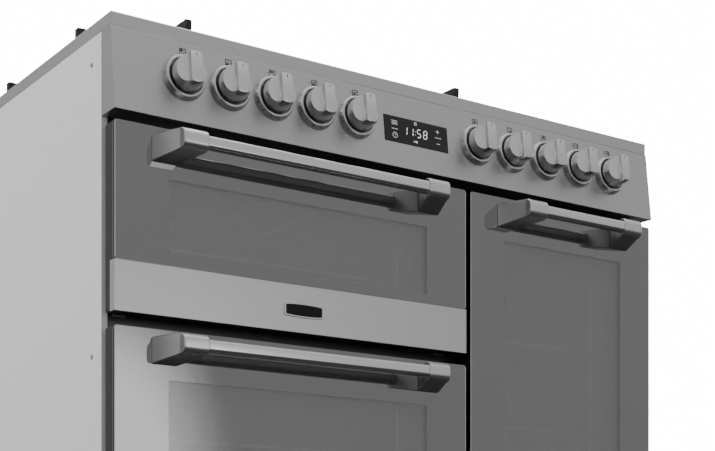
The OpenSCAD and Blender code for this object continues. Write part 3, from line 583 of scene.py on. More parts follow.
class Graph:
    """Adds and links nodes in one node tree; in a group, source and sink are its own sockets."""

    def __init__(self, tree: bpy.types.NodeTree) -> None:
        self.tree = tree
        self.source: object = None
        self.sink: object = None

    def add(self, kind: str, inputs: dict | None = None, **settings: object) -> bpy.types.Node:
        """Adds a node.

        Args:
            kind: Its type, without the ShaderNode prefix unless it is a group node.
            inputs: Socket name or index to a value or to another node's output.
            **settings: Its own properties.

        Returns:
            The node.
        """
        node = self.tree.nodes.new(kind if kind.startswith("NodeGroup") else "ShaderNode" + kind)
        for name, value in settings.items():
            setattr(node, name, value)
        for key, value in (inputs or {}).items():
            if isinstance(value, bpy.types.NodeSocket):
                self.tree.links.new(value, node.inputs[key])
            else:
                node.inputs[key].default_value = value
        return node

    def math(self, operation: str, first: object, second: object = 0.0, clamp: bool = False) -> bpy.types.NodeSocket:
        """Adds one step of arithmetic.

        Args:
            operation: The math node's operation.
            first: A value or an output.
            second: A value or an output.
            clamp: True keeps the result from 0 to 1.

        Returns:
            The result's output.
        """
        return self.add("Math", {0: first, 1: second}, operation=operation, use_clamp=clamp).outputs[0]


class Effects:
    """The shared effects, each a node group that is made once."""

    def __init__(self) -> None:
        self.groups: dict[str, bpy.types.NodeTree] = {}

    def group(self, name: str, inputs: dict[str, tuple[str, object]], outputs: dict[str, str]) -> Graph:
        """Starts a group with its sockets.

        Args:
            name: The group's name.
            inputs: Socket name to its type and default.
            outputs: Socket name to its type.

        Returns:
            A graph on the new group, with its input and output nodes made.
        """
        tree = bpy.data.node_groups.new(name, "ShaderNodeTree")
        for socket, (kind, value) in inputs.items():
            made = tree.interface.new_socket(socket, in_out="INPUT", socket_type="NodeSocket" + kind)
            made.default_value = value
        for socket, kind in outputs.items():
            tree.interface.new_socket(socket, in_out="OUTPUT", socket_type="NodeSocket" + kind)
        self.groups[name] = tree
        graph = Graph(tree)
        graph.source = graph.add("NodeGroupInput").outputs
        graph.sink = graph.add("NodeGroupOutput").inputs
        return graph

    def build(self) -> None:
        """Makes all the groups."""
        self.build_grain()
        self.build_edges()
        self.build_dust()
        self.build_smudge()
        self.build_speckle()
        self.build_window()

    def build_grain(self) -> None:
        """Grain that is stretched along an axis: a value and a relief."""
        g = self.group("fx_grain", {"Stretch": ("Vector", (60, 60, 60)), "Depth": ("Float", 0.1),
                                    "Normal": ("Vector", (0, 0, 0))}, {"Value": "Float", "Normal": "Vector"})
        where = g.add("TexCoord").outputs["Object"]
        scaled = g.add("VectorMath", {0: where, 1: g.source["Stretch"]}, operation="MULTIPLY").outputs[0]
        noise = g.add("TexNoise", {"Vector": scaled, "Scale": 1.0, "Detail": 3.0, "Roughness": 0.6}).outputs[0]
        bump = g.add("Bump", {"Strength": g.source["Depth"], "Distance": 0.0003, "Height": noise,
                              "Normal": g.source["Normal"]})
        g.tree.links.new(noise, g.sink["Value"])
        g.tree.links.new(bump.outputs[0], g.sink["Normal"])

    def build_edges(self) -> None:
        """Softened edges: a normal, and a mask of where the surface turns."""
        g = self.group("fx_edges", {"Radius": ("Float", 0.0006)}, {"Mask": "Float", "Normal": "Vector"})
        bevel = g.add("Bevel", {"Radius": g.source["Radius"]}, samples=4)
        flat = g.add("NewGeometry").outputs["Normal"]
        same = g.add("VectorMath", {0: bevel.outputs[0], 1: flat}, operation="DOT_PRODUCT").outputs["Value"]
        turned = g.math("MULTIPLY", g.math("SUBTRACT", 1.0, same), 3.5, clamp=True)
        where = g.add("TexCoord").outputs["Object"]
        noise = g.add("TexNoise", {"Vector": where, "Scale": 140.0, "Detail": 2.0}).outputs[0]
        g.tree.links.new(g.math("MULTIPLY", turned, noise, clamp=True), g.sink["Mask"])
        g.tree.links.new(bevel.outputs[0], g.sink["Normal"])

    def build_dust(self) -> None:
        """Dust that lies on what faces up, in soft patches."""
        g = self.group("fx_dust", {"Amount": ("Float", 0.1)}, {"Mask": "Float"})
        normal = g.add("NewGeometry").outputs["Normal"]
        up = g.add("SeparateXYZ", {0: normal}).outputs["Z"]
        where = g.add("TexCoord").outputs["Object"]
        noise = g.add("TexNoise", {"Vector": where, "Scale": 17.0, "Detail": 4.0}).outputs[0]
        facing = g.add("MapRange", {"Value": up, "From Min": 0.2, "From Max": 1.0}).outputs[0]
        patch = g.add("MapRange", {"Value": noise, "From Min": 0.35, "From Max": 0.75}).outputs[0]
        g.tree.links.new(g.math("MULTIPLY", g.math("MULTIPLY", facing, patch), g.source["Amount"]), g.sink["Mask"])

    def build_smudge(self) -> None:
        """Faint wiping marks, as a value about zero."""
        g = self.group("fx_smudge", {"Amount": ("Float", 0.1)}, {"Value": "Float"})
        where = g.add("TexCoord").outputs["Object"]
        wide = g.add("TexNoise", {"Vector": where, "Scale": 5.0, "Detail": 5.0, "Distortion": 0.8}).outputs[0]
        fine = g.add("TexNoise", {"Vector": where, "Scale": 42.0, "Detail": 2.0}).outputs[0]
        both = g.math("SUBTRACT", g.math("MULTIPLY", wide, fine), 0.25)
        g.tree.links.new(g.math("MULTIPLY", both, g.source["Amount"]), g.sink["Value"])

    def build_speckle(self) -> None:
        """Small pale flecks, as in vitreous enamel."""
        g = self.group("fx_speckle", {"Scale": ("Float", 420.0)}, {"Mask": "Float"})
        where = g.add("TexCoord").outputs["Object"]
        cell = g.add("TexVoronoi", {"Vector": where, "Scale": g.source["Scale"]}).outputs["Distance"]
        g.tree.links.new(g.math("LESS_THAN", cell, 0.17), g.sink["Mask"])

    def build_window(self) -> None:
        """A mask that is 1 inside an upright rectangle."""
        g = self.group("fx_window", {"Low": ("Vector", (0, 0, 0)), "High": ("Vector", (1, 1, 1))}, {"Mask": "Float"})
        where = g.add("TexCoord").outputs["Object"]
        lower = g.add("SeparateXYZ", {0: g.add("VectorMath", {0: where, 1: g.source["Low"]},
                                               operation="SUBTRACT").outputs[0]}).outputs
        upper = g.add("SeparateXYZ", {0: g.add("VectorMath", {0: g.source["High"], 1: where},
                                               operation="SUBTRACT").outputs[0]}).outputs
        across = g.math("MINIMUM", lower["X"], upper["X"])
        inside = g.math("MINIMUM", across, g.math("MINIMUM", lower["Z"], upper["Z"]))
        mask = g.add("MapRange", {"Value": inside, "From Min": 0.0, "From Max": 0.0006}).outputs[0]
        g.tree.links.new(mask, g.sink["Mask"])


class Paintbox:
    """Makes each finish's material once."""

    def __init__(self, effects: Effects) -> None:
        self.effects = effects
        self.made: dict[str, bpy.types.Material] = {}

    def use(self, graph: Graph, name: str, inputs: dict[str, object]) -> bpy.types.Node:
        """Adds one of the shared effects to a material.

        Args:
            graph: The material's graph.
            name: The effect's group.
            inputs: Its inputs.

        Returns:
            The group node.
        """
        node = graph.add("Group", node_tree=self.effects.groups[name])
        for key, value in inputs.items():
            if isinstance(value, bpy.types.NodeSocket):
                graph.tree.links.new(value, node.inputs[key])
            else:
                node.inputs[key].default_value = value
        return node

    def material(self, finish: Finish) -> bpy.types.Material:
        """Gives a finish's material.

        Args:
            finish: The finish.

        Returns:
            The material.
        """
        if finish.name in self.made:
            return self.made[finish.name]
        material = bpy.data.materials.new(finish.name)
        material.use_nodes = True
        material.node_tree.nodes.clear()
        g = Graph(material.node_tree)
        shader = g.add("BsdfPrincipled", {"Metallic": finish.metallic, "Coat Weight": finish.coat,
                                          "Coat Roughness": 0.08, "IOR": finish.ior})
        edges = self.use(g, "fx_edges", {"Radius": finish.edge_m})
        grain = self.use(g, "fx_grain", {"Stretch": finish.stretch, "Depth": finish.depth,
                                         "Normal": edges.outputs["Normal"]})
        smudge = self.use(g, "fx_smudge", {"Amount": finish.contrast})
        shift = g.math("SUBTRACT", grain.outputs["Value"], 0.5)
        gain = g.math("ADD", 1.0, g.math("MULTIPLY", shift, finish.contrast))
        colour = g.add("VectorMath", {0: finish.colour}, operation="SCALE")
        g.tree.links.new(gain, colour.inputs["Scale"])
        base = colour.outputs[0]
        if finish.wear:
            base = self.mix(g, g.math("MULTIPLY", edges.outputs["Mask"], finish.wear * 6, clamp=True), base,
                            (0.85, 0.85, 0.84, 1.0))
        if finish.surface is Surface.ENAMEL:
            flecks = self.use(g, "fx_speckle", {"Scale": 420.0})
            base = self.mix(g, g.math("MULTIPLY", flecks.outputs["Mask"], 0.12), base, (0.35, 0.36, 0.38, 1.0))
        if finish.dust:
            dust = self.use(g, "fx_dust", {"Amount": finish.dust})
            base = self.mix(g, dust.outputs["Mask"], base, (0.42, 0.40, 0.37, 1.0))
        rough = g.math("ADD", finish.roughness, g.math("MULTIPLY", shift, finish.contrast * 0.6))
        rough = g.math("ADD", rough, smudge.outputs["Value"], clamp=True)
        if finish.window is not None:
            base = self.window(g, finish, base, shader)
        elif finish.alpha < 1:
            shader.inputs["Alpha"].default_value = finish.alpha
        if finish.glow:
            shader.inputs["Emission Color"].default_value = (*finish.colour, 1.0)
            shader.inputs["Emission Strength"].default_value = finish.glow
        g.tree.links.new(base, shader.inputs["Base Color"])
        g.tree.links.new(rough, shader.inputs["Roughness"])
        g.tree.links.new(grain.outputs["Normal"], shader.inputs["Normal"])
        output = g.add("OutputMaterial")
        g.tree.links.new(shader.outputs[0], output.inputs[0])
        self.made[finish.name] = material
        return material

    def mix(self, g: Graph, factor: bpy.types.NodeSocket, base: bpy.types.NodeSocket,
            colour: tuple[float, float, float, float]) -> bpy.types.NodeSocket:
        """Mixes a colour over another by a mask.

        Args:
            g: The material's graph.
            factor: The mask.
            base: The colour under it.
            colour: The colour over it.

        Returns:
            The mixed colour.
        """
        node = g.add("Mix", data_type="RGBA")
        g.tree.links.new(factor, node.inputs["Factor"])
        g.tree.links.new(base, node.inputs["A"])
        node.inputs["B"].default_value = colour
        return node.outputs["Result"]

    def window(self, g: Graph, finish: Finish, base: bpy.types.NodeSocket,
               shader: bpy.types.Node) -> bpy.types.NodeSocket:
        """Clears the window in a door's printed glass and paints it a lighter grey, a painted reflection of the room.

        Args:
            g: The material's graph.
            finish: The finish, with its window.
            base: The border's colour.
            shader: The material's shader.

        Returns:
            The colour, with the window's lighter grey painted reflection in it.
        """
        low, high = finish.window
        mask = self.use(g, "fx_window", {"Low": low, "High": high}).outputs["Mask"]
        opacity = g.add("MapRange", {"Value": mask, "To Min": 1.0, "To Max": finish.alpha}).outputs[0]
        g.tree.links.new(opacity, shader.inputs["Alpha"])
        # Nine times the border's colour: the window's lighter grey is a painted reflection of the room, not a colour
        # of the glass.
        r, gr, b = (c * 9.0 for c in finish.colour)
        return self.mix(g, mask, base, (r, gr, b, 1.0))

    def apply(self, obj: bpy.types.Object, finish: Finish) -> bpy.types.Object:
        """Gives an object a finish.

        Args:
            obj: The object.
            finish: The finish.

        Returns:
            The object.
        """
        obj.data.materials.clear()
        obj.data.materials.append(self.material(finish))
        return obj


@dataclass
class Assembly:
    """A group of pieces that is dressed together.

    Attributes:
        paint: The paintbox.
        nodes: The frame's CAD nodes.
        count: Pieces made so far.
    """

    paint: Paintbox
    nodes: dict[str, bpy.types.Object]
    count: int = field(default=0, init=False)

    def piece(self, name: str, shell: Shell, matrix: Matrix, finish: Finish, body: str, edge: float = 0.0,
              replaces: tuple[str, ...] = ()) -> bpy.types.Object:
        """Makes one piece of this assembly.

        Args:
            name: The piece's name.
            shell: Its forms.
            matrix: From its drawing to the frame.
            finish: Its finish.
            body: The frame's body that it rides on.
            edge: Width of its rounded edges, or 0.
            replaces: CAD nodes that it stands for.

        Returns:
            The object.
        """
        obj = show(name, shell.mesh(name, matrix))
        if edge:
            soften(obj, edge)
        return self.keep(obj, finish, body, replaces)

    def keep(self, obj: bpy.types.Object, finish: Finish, body: str,
             replaces: tuple[str, ...] = ()) -> bpy.types.Object:
        """Finishes an object and ties it to its body.

        Args:
            obj: The object.
            finish: Its finish.
            body: The frame's body that it rides on.
            replaces: CAD nodes that it stands for.

        Returns:
            The object.
        """
        self.paint.apply(obj, finish)
        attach(obj, body)
        if replaces:
            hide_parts(*replaces)
        self.count += 1
        LOG.info("piece %s on %s", obj.name, body)
        return obj

    def dress(self, finish: Finish, *names: str) -> None:
        """Gives CAD nodes their finish.

        Args:
            finish: The finish.
            *names: The nodes.
        """
        for name in names:
            node = self.nodes[name]
            self.paint.apply(node, finish)
            node.data.shade_smooth()
            node.data.set_sharp_from_angle(angle=SMOOTH_BELOW)
            LOG.info("node %s in %s", name, finish.name)

    def screws(self, name: str, plane: Plane, spots: list[Triple], radius: float, body: str) -> bpy.types.Object:
        """Makes a row of cross-headed screws as one piece.

        Args:
            name: The piece's name.
            plane: The way that the heads face.
            spots: Where each stands.
            radius: The heads' radius.
            body: The body that they ride on.

        Returns:
            The piece.
        """
        shell = Shell()
        origin = on_plane(plane, 0, 0, 0).inverted()
        for x, y, z in spots:
            u, v, w = origin @ place(x, y, z)
            shell.lathe([(radius, -0.5), (radius, 0.5), (radius * 0.8, 1.1), (radius * 0.3, 1.3)], steps=24,
                        at=(u, v, w))
            for long, short in ((radius * 0.55, radius * 0.12), (radius * 0.12, radius * 0.55)):
                shell.box((u - long, v - short, w + 1.0), (u + long, v + short, w + 1.42))
        return self.piece(name, shell, on_plane(plane, 0, 0, 0), ZINC_BRIGHT, body)


class Icon(Enum):
    """What stands above a knob: which burner or oven it serves."""

    REAR_LEFT = ("hob", 2)
    FRONT_LEFT = ("hob", 0)
    GRILL = ("oven", 1)
    MAIN_FUNCTION = ("oven", 0)
    MAIN_HEAT = ("oven", 0)
    WOK = ("hob", 4)
    FRONT_RIGHT = ("hob", 1)
    REAR_RIGHT = ("hob", 3)
    HOTPLATE = ("hob", 5)
    TALL = ("oven", 2)


@dataclass
class KnobSpec:
    """One control of the panel.

    Attributes:
        node: Its CAD node.
        body: Its body in the frame.
        icon: What it serves.
        gas: True if it works a gas tap.
    """

    node: str
    body: str
    icon: Icon
    gas: bool


KNOBS = (
    KnobSpec("knob_rear_left", "gas_knob_rear_left", Icon.REAR_LEFT, True),
    KnobSpec("knob_front_left", "gas_knob_front_left", Icon.FRONT_LEFT, True),
    KnobSpec("knob_grill", "oven_knob_grill", Icon.GRILL, False),
    KnobSpec("knob_main_oven_function", "oven_knob_main_oven_function", Icon.MAIN_FUNCTION, False),
    KnobSpec("knob_main_oven_heat", "oven_knob_main_oven_heat", Icon.MAIN_HEAT, False),
    KnobSpec("knob_wok", "gas_knob_wok", Icon.WOK, True),
    KnobSpec("knob_front_right", "gas_knob_front_right", Icon.FRONT_RIGHT, True),
    KnobSpec("knob_rear_right", "gas_knob_rear_right", Icon.REAR_RIGHT, True),
    KnobSpec("knob_hotplate", "oven_knob_hotplate", Icon.HOTPLATE, False),
    KnobSpec("knob_tall_oven", "oven_knob_tall_oven", Icon.TALL, False),
)


@dataclass
class ControlPanel(Assembly):
    """The slanted panel with its knobs, marks and timer.

    Attributes:
        ink: Thickness of the printed marks.
        knob_seat: Distance of a knob's underside from the panel.
        scoop_r: Radius of the two scoops that leave a knob's grip.
        grip_w: Width of the grip.
        spindle_r: Radius of an oven knob's spindle.
        icon_half: Half the width of a map above a knob.
        icon_line: Width of the map's lines.
        icon_rise: Height of the maps above the knobs' centres.
        timer_x: Distance of the timer's middle from the left end.
        timer_drop: Distance of the timer's middle down the panel.
    """

    ink: float = 0.12
    knob_seat: float = 6.0
    scoop_r: float = 16.0
    grip_w: float = 17.6
    spindle_r: float = 4.0
    icon_half: float = 5.2
    icon_line: float = 1.0
    icon_rise: float = 38.0
    timer_x: float = 502.25
    timer_drop: float = 55.5

    def build(self) -> None:
        """Makes the panel's pieces."""
        self.dress(PANEL_STEEL, "control_panel")
        self.dress(TIMER_GLASS, "timer_display")
        self.dress(TAP_BRASS, "control_valves", *(f"tap_plug_{k.node[5:]}" for k in KNOBS if k.gas))
        self.build_bezels()
        self.build_knobs()
        self.build_icons()
        self.build_timer()

    def build_bezels(self) -> None:
        """Makes the ring round each knob, with its printed marks."""
        rings, marks = Shell(), Shell()
        for x, spec in zip(KNOB_XS, KNOBS):
            shift = on_panel(KNOB_XS[0], L.knob_drop).inverted() @ on_panel(x, L.knob_drop).translation
            ring = Shell().lathe([(26.0, 0.0), (26.0, 9.3), (26.5, 10.0), (28.6, 10.0), (29.3, 9.7), (29.8, 9.0),
                                  (32.0, 0.4), (32.0, 0.0)], closed=True, steps=96)
            rings.add(ring.turned(0, shift.x))
            marks.add(self.skirt_marks(spec).turned(0, shift.x))
        base = on_panel(KNOB_XS[0], L.knob_drop)
        self.piece("bezel_rings", rings, base, BEZEL_METAL, "body", replaces=("knob_bezels",))
        self.piece("bezel_marks", marks, base, INK, "body")

    def skirt_marks(self, spec: KnobSpec) -> Shell:
        """Draws the marks on one bezel's sloping skirt.

        Args:
            spec: The knob inside it.

        Returns:
            The marks, about the knob's axis.
        """
        marks = Shell()
        if spec.gas:
            for i in range(13):
                size = 0.4 + 0.16 * i
                one = Shell().box((30.4, -size / 2, 2.6), (31.25, size / 2, 2.6 + 0.5 * size + 0.6))
                marks.add(one.turned(math.radians(200 + 7.5 * i)))
            spots = [90, 180, 300]
        else:
            spots = [90, 60, 36, 12, -12, -36, -60, -84, -108, -132, -156, -180, -204]
        for angle in spots:
            dot = Shell().box((29.9, -0.9, 4.2), (30.95, 0.9, 6.2))
            marks.add(dot.turned(math.radians(angle)))
            if not spec.gas and angle != 90:
                tick = Shell().box((29.2, -0.35, 7.2), (30.3, 0.35, 8.8))
                marks.add(tick.turned(math.radians(angle)))
        return marks

    def build_knobs(self) -> None:
        """Carves one knob and sets it on each spindle."""
        seat = self.knob_seat
        drum = Shell().lathe([(L.knob_r - 1.2, seat), (L.knob_r - 0.2, seat + 0.4), (L.knob_r, seat + 1.2),
                              (L.knob_face_r + 0.15, L.knob_reach - 1.4), (L.knob_face_r - 0.35, L.knob_reach - 0.4),
                              (L.knob_face_r - 1.3, L.knob_reach)], steps=128)
        knob = show("knob_form", drum.mesh("knob_form", Matrix.Scale(MM, 4)))
        upright = Matrix(((1, 0, 0, 0), (0, 0, -1, 0), (0, 1, 0, 0), (0, 0, 0, 1)))
        for side in (-1, 1):
            tool = Shell().lathe([(self.scoop_r, -60.0), (self.scoop_r, 60.0)], steps=96)
            matrix = Matrix.Translation((side * (self.grip_w / 2 + self.scoop_r) * MM, 0, L.knob_reach * MM))
            combine(knob, show("scoop", tool.mesh("scoop", matrix @ upright @ Matrix.Scale(MM, 4))), "DIFFERENCE")
        soften(knob, 0.9, 4, 38)
        bake(knob)
        tick = Shell().box((-0.6, L.knob_face_r - 6.4, L.knob_reach - 0.3),
                           (0.6, L.knob_face_r - 2.4, L.knob_reach + 0.06))
        stub = Shell().lathe([(self.spindle_r, -30.0), (self.spindle_r, seat + 1.0)], steps=32)
        for x, spec in zip(KNOB_XS, KNOBS):
            stand = on_panel(x, L.knob_drop)
            body = show(f"{spec.node}_form", knob.data.copy(), stand @ Matrix.Scale(1 / MM, 4))
            self.keep(body, KNOB_METAL, spec.body, (spec.node,))
            self.piece(f"{spec.node}_tick", tick, stand, INK, spec.body)
            if not spec.gas:
                self.piece(f"{spec.node}_spindle", stub, stand, ZINC_BRIGHT, spec.body)
        bpy.data.objects.remove(knob)

    def build_icons(self) -> None:
        """Prints the small map above each knob."""
        marks = Shell()
        base = on_panel(KNOB_XS[0], L.knob_drop)
        for x, spec in zip(KNOB_XS, KNOBS):
            shift = (base.inverted() @ on_panel(x, L.knob_drop).translation).x
            marks.add(self.icon(spec).turned(0, shift + 1.5, self.icon_rise))
        self.piece("panel_icons", marks, base, INK, "body")

    def icon(self, spec: KnobSpec) -> Shell:
        """Draws one map.

        Args:
            spec: The knob under it.

        Returns:
            The drawing, about its middle.
        """
        kind, active = spec.icon.value
        marks, half, line, top = Shell(), self.icon_half, self.icon_line, self.ink
        for low, high in (((-half, -half), (half, -half + line)), ((-half, half - line), (half, half)),
                          ((-half, -half), (-half + line, half)), ((half - line, -half), (half, half))):
            marks.box((*low, 0.0), (*high, top))
        if kind == "hob":
            spots = [(-2.2, -2.2), (1.0, -2.2), (-2.2, 2.2), (1.0, 2.2), (-0.6, 0.0), (3.3, 0.0)]
            for i, (u, v) in enumerate(spots):
                r = 1.9 if i == active else 0.8
                outline = rounded(1.2, 6.4, 0.2, u, v) if i == 5 == active else ring_points(r, 16)
                marks.prism(outline if i == 5 == active else [(u + a, v + b) for a, b in outline], 0.0, top)
        else:
            marks.box((1.2, -half, 0.0), (1.2 + line, half, top))
            marks.box((-half, 0.8, 0.0), (1.2, 0.8 + line, top))
            cell = {0: ((-3.4, -3.5), (0.3, -0.1)), 1: ((-3.4, 2.0), (0.3, 3.6)), 2: ((2.4, -3.5), (3.4, 3.5))}
            low, high = cell[active]
            marks.box((*low, 0.0), (*high, top))
        if not spec.gas:
            marks.box((-9.4, -0.5, 0.0), (-6.4, 0.5, top))
        return marks

    def build_timer(self) -> None:
        """Lights the timer's figures and keys."""
        lit = Shell()
        low, high = 0.62, 0.70
        for i, digit in enumerate("1158"):
            lit.add(self.digit(digit, low, high).turned(0, (-21.0, -9.5, 4.6, 16.6)[i], 0.5))
        for v in (-2.4, 2.8):
            lit.box((-2.7, v - 0.5, low), (-1.7, v + 0.5, high))
        for side in (-1, 1):
            lit.box((side * 41.0 - 6.0, -0.25, low), (side * 41.0 + 6.0, 0.05, high))
            lit.box((side * 41.0 - 6.0, 0.55, low), (side * 41.0 + 6.0, 0.85, high))
        for k in range(3):
            wave = [(-46.5 + 11 * t / 8, 7.5 + 2.6 * k + 0.5 * math.sin(t * math.pi / 2), high) for t in range(9)]
            lit.sweep(wave, 0.32, steps=6)
        for x, y, r in ((-41.0, -9.5, 4.2), (-1.0, 15.0, 2.2)):
            lit.sweep([(x + u, y + v, high) for u, v in ring_points(r, 24)], 0.3, closed=True, steps=6)
            lit.box((x - 0.25, y, low), (x + 0.25, y + r * 0.6, high)).box((x, y - 0.25, low), (x + r * 0.5, y + 0.25,
                                                                                              high))
        lit.box((38.0, 9.6, low), (44.0, 10.3, high)).box((40.65, 7.0, low), (41.35, 13.0, high))
        lit.box((38.0, -9.6, low), (44.0, -8.9, high))
        lit.box((-6.0, -15.4, low), (-5.3, -11.8, high)).box((0.2, -15.4, low), (0.9, -11.8, high))
        lit.prism([(-4.6, -13.6), (-0.4, -15.4), (-0.4, -11.8)], low, high)
        self.piece("timer_figures", lit, on_panel(self.timer_x, self.timer_drop), SEGMENT_LIGHT, "body")

    def digit(self, digit: str, low: float, high: float) -> Shell:
        """Draws one seven-segment figure.

        Args:
            digit: The figure.
            low: Its lower z.
            high: Its upper z.

        Returns:
            The figure, about its middle.
        """
        lit = {"1": "bc", "5": "afgcd", "8": "abcdefg"}[digit]
        w, h, t = 6.2, 12.4, 0.75
        bars = {"a": (0, h / 2, 0), "g": (0, 0, 0), "d": (0, -h / 2, 0), "b": (w / 2, h / 4, 1),
                "c": (w / 2, -h / 4, 1), "f": (-w / 2, h / 4, 1), "e": (-w / 2, -h / 4, 1)}
        shell = Shell()
        for key in lit:
            x, y, upright = bars[key]
            span = (h / 4 if upright else w / 2) - 0.35
            shape = [(-span, 0), (-span + t, t), (span - t, t), (span, 0), (span - t, -t), (-span + t, -t)]
            outline = [(x + v, y + u) for u, v in reversed(shape)] if upright else [(x + u, y + v) for u, v in shape]
            shell.prism([(u + 0.12 * v, v) for u, v in outline], low, high)
        return shell


@dataclass
class DoorSpec:
    """One door.

    Attributes:
        key: First word of its CAD nodes.
        body: Its body in the frame.
        x: Its left and right edges.
        z: Its lower and upper edges.
        glass_z: Lower edge of its outer glass.
        window: Lowest and highest corner of its window, as x and z pairs.
    """

    key: str
    body: str
    x: Pair
    z: Pair
    glass_z: float
    window: tuple[Pair, Pair]


DOORS = (
    DoorSpec("grill", "grill_door", (1.5, 596.5), (500.0, 754.0), 568.0, ((81.0, 582.0), (521.0, 686.0))),
    DoorSpec("main", "main_oven_door", (1.5, 596.5), (112.0, 481.5), 112.0, ((81.0, 170.0), (521.0, 414.0))),
    DoorSpec("tall", "tall_oven_door", (606.0, 998.5), (112.0, 754.0), 112.0, ((674.0, 170.0), (930.0, 686.0))),
)


@dataclass
class Doors(Assembly):
    """The three doors with their glass, trim and handles.

    Attributes:
        foot: Width of a bracket's foot.
        nose: Width of a bracket's nose.
        skew: How far a bracket's nose stands in from its foot.
        socket: How far the bar goes into a bracket.
        bar_gap: Distance of the bar's front behind the brackets' fronts.
        bar_round: Radius of the bar's edges.
        nose_r: Radius of a bracket's nose.
        badge_x: Distance of the bare plate's middle from the left end.
        badge_z: Its height.
    """

    foot: float = 38.0
    nose: float = 35.0
    skew: float = 23.0
    socket: float = 9.0
    bar_gap: float = 2.0
    bar_round: float = 4.6
    nose_r: float = 10.0
    badge_x: float = 297.5
    badge_z: float = 532.0

    def build(self) -> None:
        """Makes the doors' pieces."""
        for spec in DOORS:
            key = spec.key
            self.dress(DOOR_BLACK, f"{key}_door_frame")
            self.dress(INNER_GLASS, f"{key}_door_inner_glass")
            self.build_glass(spec)
            self.build_handle(spec)
            self.build_trim(spec)
        self.dress(BAND_STEEL, "grill_door_band")
        self.dress(ZINC_BRIGHT, "hinge_brackets")
        self.build_badge()

    def build_glass(self, spec: DoorSpec) -> None:
        """Makes a door's outer glass with polished edges.

        Args:
            spec: The door.
        """
        (x0, x1), top = spec.x, spec.z[1]
        outline = rounded(x1 - x0, top - spec.glass_z, 3.0, (x0 + x1) / 2, (spec.glass_z + top) / 2)
        matrix = on_plane(Plane.FRONT, 0, 0, 0)
        shell = Shell().prism(outline, -L.door_face - L.glass_t, -L.door_face)
        (wx0, wz0), (wx1, wz1) = spec.window
        finish = window_glass(f"{spec.key}_glass", (wx0, 0, wz0), (wx1, 0, wz1))
        self.piece(f"{spec.key}_outer_glass", shell, matrix, finish, spec.body, 0.7, (f"{spec.key}_door_glass",))

    def build_trim(self, spec: DoorSpec) -> None:
        """Makes the thin steel strips along a door's upright edges.

        Args:
            spec: The door.
        """
        strips = Shell()
        for side, x in zip((-1, 1), spec.x):
            inner = x - side * 1.1
            strips.box((min(x, inner), spec.glass_z + 3, 3.6), (max(x, inner), spec.z[1] - 3, 9.15))
        self.piece(f"{spec.key}_edge_strips", strips, on_plane(Plane.FRONT, 0, 0, 0), BRACKET_METAL, spec.body)

    def build_handle(self, spec: DoorSpec) -> None:
        """Makes a door's handle: two cast brackets and a bar.

        Args:
            spec: The door.
        """
        z = spec.z[1] - L.handle_drop
        nose, skew, socket = self.nose, self.skew, self.socket
        left = spec.x[0] + L.handle_margin
        right = spec.x[1] - L.handle_margin
        pair = [self.bracket(left, z, 1), self.bracket(right, z, -1)]
        for tag, obj in zip(("left", "right"), pair):
            obj.name = f"{spec.key}_bracket_{tag}"
            soften(obj, 1.6, 4, 28)
        self.keep(pair[0], BRACKET_METAL, spec.body, (f"{spec.key}_door_brackets",))
        self.keep(pair[1], BRACKET_METAL, spec.body)
        reach = L.bar_size / 2
        middle = L.handle_front + self.bar_gap + reach
        section = rounded(L.bar_size, L.bar_size, self.bar_round, middle, z, 9)
        run = Plane.RIGHT
        start, end = left + skew + nose - socket + 0.3, right - skew - nose + socket - 0.3
        matrix = on_plane(run, 0, 0, 0)
        bar = Shell().prism(section, start, end)
        self.piece(f"{spec.key}_bar", bar, matrix, HANDLE_STEEL, spec.body, 0.0, (f"{spec.key}_door_handle",))
        collars = Shell()
        ring = rounded(L.bar_size + 0.9, L.bar_size + 0.9, self.bar_round + 0.4, middle, z, 9)
        for x in (start + socket - 0.3, end - socket + 0.3):
            side = 1 if x < (start + end) / 2 else -1
            collars.prism(ring, min(x, x + side * 1.4), max(x, x + side * 1.4))
        self.piece(f"{spec.key}_collars", collars, matrix, BRACKET_METAL, spec.body, 0.25)

    def bracket(self, x: float, z: float, side: int) -> bpy.types.Object:
        """Carves one bracket from its plan and its side view.

        Args:
            x: Outer edge of its foot.
            z: Height of its middle.
            side: 1 if its nose lies to the right of its foot, else -1.

        Returns:
            The bracket.
        """
        half, face, front = L.bracket_h / 2, L.door_face, L.handle_front
        foot, nose, skew, radius = self.foot, self.nose, self.skew, self.nose_r
        plan = [(0, face), (foot, face), (skew + nose, front + 12), (skew + nose, front - 3), (skew - 2, front - 3),
                (skew - 4, front + 12)]
        outline = [(x + side * u, v) for u, v in plan]
        block = show("bracket", Shell().prism(outline, z - 2 * half, z + 2 * half).mesh(
            "bracket", on_plane(Plane.TOP, 0, 0, 0)))
        arc = [(face - (face - front - radius) - u, v) for u, v in (
            [(radius * math.sin(a), half - radius + radius * math.cos(a)) for a in
             [math.pi / 2 * i / 10 for i in range(11)]])]
        profile = [(face, -half - L.foot_drop), (face, half)] + arc + [(u, -v) for u, v in reversed(arc)]
        matrix = on_plane(Plane.RIGHT, 0, 0, z)
        tool = show("profile", Shell().prism(profile, x - 90, x + 90).mesh("profile", matrix))
        return combine(block, tool, "INTERSECT")

    def barrel(self, width: float, height: float, bow: float) -> list[Pair]:
        """Outline of a plate whose long edges bow outward.

        Args:
            width: Its width.
            height: Its height at the ends.
            bow: How far each long edge rises in its middle.

        Returns:
            The outline.
        """
        turns = [math.pi * i / 16 for i in range(17)]
        upper = [(width / 2 * math.cos(a), height / 2 + bow * math.sin(a)) for a in turns]
        return upper + [(-u, -v) for u, v in upper]

